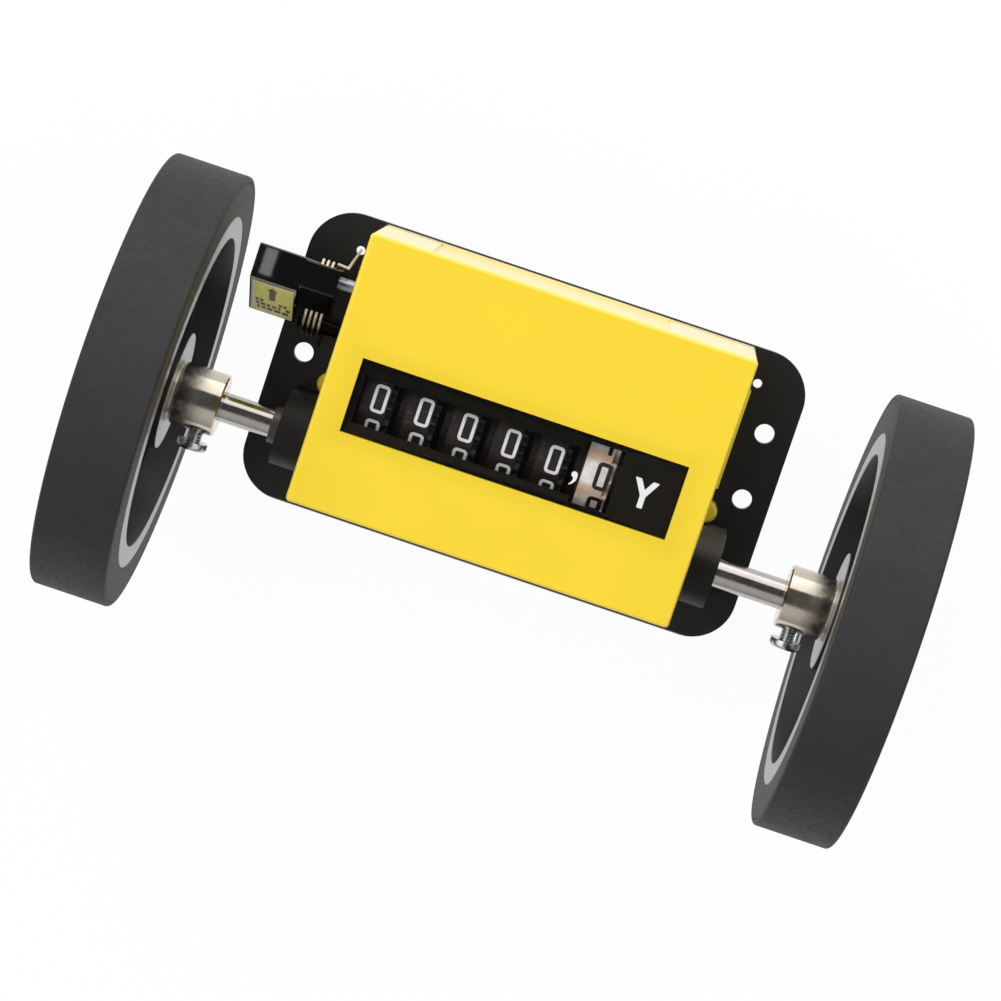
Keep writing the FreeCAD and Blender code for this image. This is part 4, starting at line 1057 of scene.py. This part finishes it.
class COUNTER_OT_reset(CounterOperator, bpy.types.Operator):
    """Finish the reset lever and its springs, and print its label"""
    bl_idname = "counter.reset"
    bl_label = "Reset lever"

    arrow_place = (-0.1 * MM, 3.95 * MM)              # from the label's middle
    first_row, row_step = -1.6 * MM, 2.1 * MM
    block_half, patch_half = 0.72 * MM, 0.8 * MM      # half heights
    # where each block of a row starts and ends, in mm from the label's middle
    print_rows = (
        ((-3.8, -3.1), (-2.8, -2.0), (1.4, 2.2), (2.5, 3.2)),
        ((-3.6, -2.9), (-2.6, -1.5), (-1.2, -0.4), (0, 0.9), (1.3, 1.9), (3.0, 3.9)),
        ((-3.4, -2.7), (-2.3, -1.4), (-1.1, 0.1), (0.5, 1.9), (2.2, 3.6)),
    )

    def make(self, settings, colours):
        low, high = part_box("reset_label")
        rear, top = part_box("reset_lever")[1].yz

        def arrises(finish):
            """The lever's upper edges, above the label and at the rear, where highlights are
            painted pale.
            """
            front = 1 - finish.y.over(high.y + 0.5 * MM, high.y + 0.75 * MM)
            back = finish.y.over(rear - 0.3 * MM, rear - 0.15 * MM)
            return (front + back * 0.5) * finish.z.over(top - 0.5 * MM, top - 0.35 * MM) * 0.75

        dress(moulded("lever_moulding_gloss", colours.lever, roughness=0.012, grain=0.8 * MM,
                      depth=0.01e-6, cloud=0.1, dust=0.15, waves=0.1e-6, rub_and_highlight=arrises),
              "reset_lever", "reset_comb")
        dress(drawn_wire("spring_wire_drawn", colours.spring), "rear_spring")
        dress(drawn_wire("spring_wire_shaded", colours.spring,
                         middle("front_spring").y - 0.2 * MM), "front_spring")
        dress(sticker("label_sticker", colours.label, colours.label_edge), "reset_label")
        ink = print_ink("label_ink", colours.label_ink, wear=0.2)
        prints = settings.prints
        centre, slope = self.label_face(low, high)
        across = Vector((1, 0, 0))
        up = Vector((0, cos(slope), sin(slope)))
        out = Vector((0, -sin(slope), cos(slope)))

        def on_label(x, y):
            def lift(px, py, top):
                raised = prints.ink if top else -prints.ink
                return centre + across * (x + px) + up * (y + py) + out * raised
            return lift

        arrow = printed_patch(self.arrow, 1.4 * MM, 3.9 * MM, prints.cell)
        marks = [(*arrow, on_label(*self.arrow_place))]
        for row, blocks in enumerate(self.print_rows):
            for start, end in blocks:
                half = (end - start) / 2 * MM
                block = printed_patch(
                    lambda x, y: min(half - abs(x), self.block_half - abs(y)),
                    half, self.patch_half, prints.cell)
                place = on_label((start + end) / 2 * MM, self.first_row - self.row_step * row)
                marks.append((*block, place))
        placed("label_marks", thickened(marks, "label_marks"), [ink], "reset", "lever_black")

    def label_face(self, low, high):
        """The middle of the label's outer face and its slope, from its box and its thickness."""
        thickness = 0.25 * MM
        slope = atan2(high.z - low.z, high.y - low.y)
        for _ in range(4):
            slope = atan2(high.z - low.z - thickness * cos(slope),
                          high.y - low.y - thickness * sin(slope))
        lift = Vector((0, -sin(slope), cos(slope))) * thickness
        return (low + high + lift) / 2, slope

    def arrow(self, x, y):
        """Inside of an upward arrow with a broad shaft."""
        tip, barbs, spread, shaft_half = 3.8 * MM, 1.5 * MM, 0.56, 0.68 * MM
        head = min(y - barbs, (tip - y) * spread - abs(x))
        shaft = min(shaft_half - abs(x), y + tip, barbs + 0.1 * MM - y)
        return max(head, shaft)


class COUNTER_OT_studio(CounterOperator, bpy.types.Operator):
    """Set the floor, the soft light and the camera"""
    bl_idname = "counter.studio"
    bl_label = "Studio"

    floor_reach = 12                                  # metres, as are the next two
    box_size, box_distance = (1.1, 0.9), 0.9
    box_lean = -0.12                                  # of the soft box, to the left
    lamp_place, lamp_reach = -0.0951, (0.0017, 0.0038)          # as parts of a direction

    def make(self, settings, colours):
        studio = settings.studio
        scene = bpy.context.scene
        self.floor(studio, colours.floor)
        self.surroundings(studio)
        light = bpy.data.lights.new("key_box", "AREA")
        light.shape, light.energy = "RECTANGLE", studio.key
        light.size, light.size_y = self.box_size
        key = linked("key_box", light)
        aim = Vector((self.box_lean, sin(studio.key_tilt), cos(studio.key_tilt))).normalized()
        key.location = aim * self.box_distance
        key.rotation_euler = aim.to_track_quat("Z", "X").to_euler()
        lens = bpy.data.cameras.new("camera")
        lens.lens, lens.sensor_width, lens.clip_end = studio.lens, 36.0, 50
        scene.camera = linked("camera", lens)
        scene.camera.location = studio.camera_place
        scene.camera.rotation_euler = studio.camera_turn
        scene.view_settings.view_transform = "Standard"

    def floor(self, studio, tint):
        """A wide pale floor that shows white and keeps a faint shadow."""
        mesh = bpy.data.meshes.new("floor")
        reach, ground = self.floor_reach, cad_bounds[0][2]
        corners = [(x * reach, y * reach, ground) for x, y in ((-1, -1), (1, -1), (1, 1), (-1, 1))]
        mesh.from_pydata(corners, [], [(0, 1, 2, 3)])
        floor = linked("floor", mesh)
        material = bpy.data.materials.new("floor_white")
        material.use_nodes = True
        nodes = Nodes(material.node_tree)
        seen = sum((nodes.node("LightPath", output=f"Is {ray} Ray")
                    for ray in ("Camera", "Glossy", "Transmission")), 0)
        paper = nodes.node("BsdfDiffuse", (scaled(tint, 0.96),))
        glow = nodes.node("Emission", {"Color": (1, 1, 1), "Strength": 1.0})
        nodes.node("OutputMaterial", (nodes.node("MixShader", (
            seen * (1 - studio.shade), paper, glow)),))
        mesh.materials.append(material)

    def surroundings(self, studio):
        """Soft light from all round, dark above along the axle, with one small lamp.

        The tilt of a direction is 0 straight above, negative before the counter and positive
        behind it.
        """
        world = bpy.data.worlds.new("soft_room")
        bpy.context.scene.world = world
        world.use_nodes = True
        nodes = Nodes(world.node_tree, "Generated")
        tilt = nodes.y.math("ARCTAN2", nodes.z)
        front = 1 - tilt.over(radians(-26), radians(-14))
        rear = tilt.over(radians(48), radians(96))
        before = (studio.low_level + tilt.over(radians(-115), radians(-42))
                  * (studio.front_level - studio.low_level))
        strength = (studio.overhead + front * (before - studio.overhead)
                    + rear * (studio.rear_level - studio.overhead))
        side = studio.side_level + nodes.z.over(0.2, 0.6) * (studio.high_level - studio.side_level)
        side = side * (0.4 + 0.6 * tilt.over(radians(-60), radians(30)))
        side = side * (1 - 0.38 * nodes.x.over(-0.2, 0.2))
        strength = strength + abs(nodes.x).over(0.16, 0.3) * (side - strength)
        lamp_x, lamp_y = (abs(axis - self.lamp_place) < reach
                          for axis, reach in zip((nodes.x, nodes.y), self.lamp_reach))
        strength = strength + lamp_x * lamp_y * studio.lamp
        nodes.node("OutputWorld", (nodes.node("Background", {"Strength": strength}),))


OPERATORS = (
    COUNTER_OT_studio, COUNTER_OT_tyres, COUNTER_OT_wheels, COUNTER_OT_set_screws,
    COUNTER_OT_axle, COUNTER_OT_plate, COUNTER_OT_frames, COUNTER_OT_cover, COUNTER_OT_window,
    COUNTER_OT_drums, COUNTER_OT_gears, COUNTER_OT_reset,
)


class COUNTER_PT_panel(bpy.types.Panel):
    """The counter's settings and operators"""
    bl_idname = "COUNTER_PT_panel"
    bl_label = "Cable length counter"
    bl_space_type = "VIEW_3D"
    bl_region_type = "UI"
    bl_category = "Counter"

    def draw(self, context):
        settings = context.scene.length_counter
        for name in ("wheels", "screws", "prints", "colours", "studio"):
            group = getattr(settings, name)
            box = self.layout.box()
            box.label(text=name.title())
            for field in group.__annotations__:
                box.prop(group, field)
        for operator in OPERATORS:
            self.layout.operator(operator.bl_idname)


CLASSES = (CounterWheels, CounterScrews, CounterPrint, CounterColours, CounterStudio,
           CounterSettings, *OPERATORS, COUNTER_PT_panel)


def register():
    for cls in CLASSES:
        bpy.utils.register_class(cls)
    bpy.types.Scene.length_counter = PointerProperty(type=CounterSettings)


def unregister():
    del bpy.types.Scene.length_counter
    for cls in reversed(CLASSES):
        bpy.utils.unregister_class(cls)


def main():
    register()
    for operator in OPERATORS:
        group, name = operator.bl_idname.split(".")
        getattr(getattr(bpy.ops, group), name)()


if __name__ == "__main__":
    main()
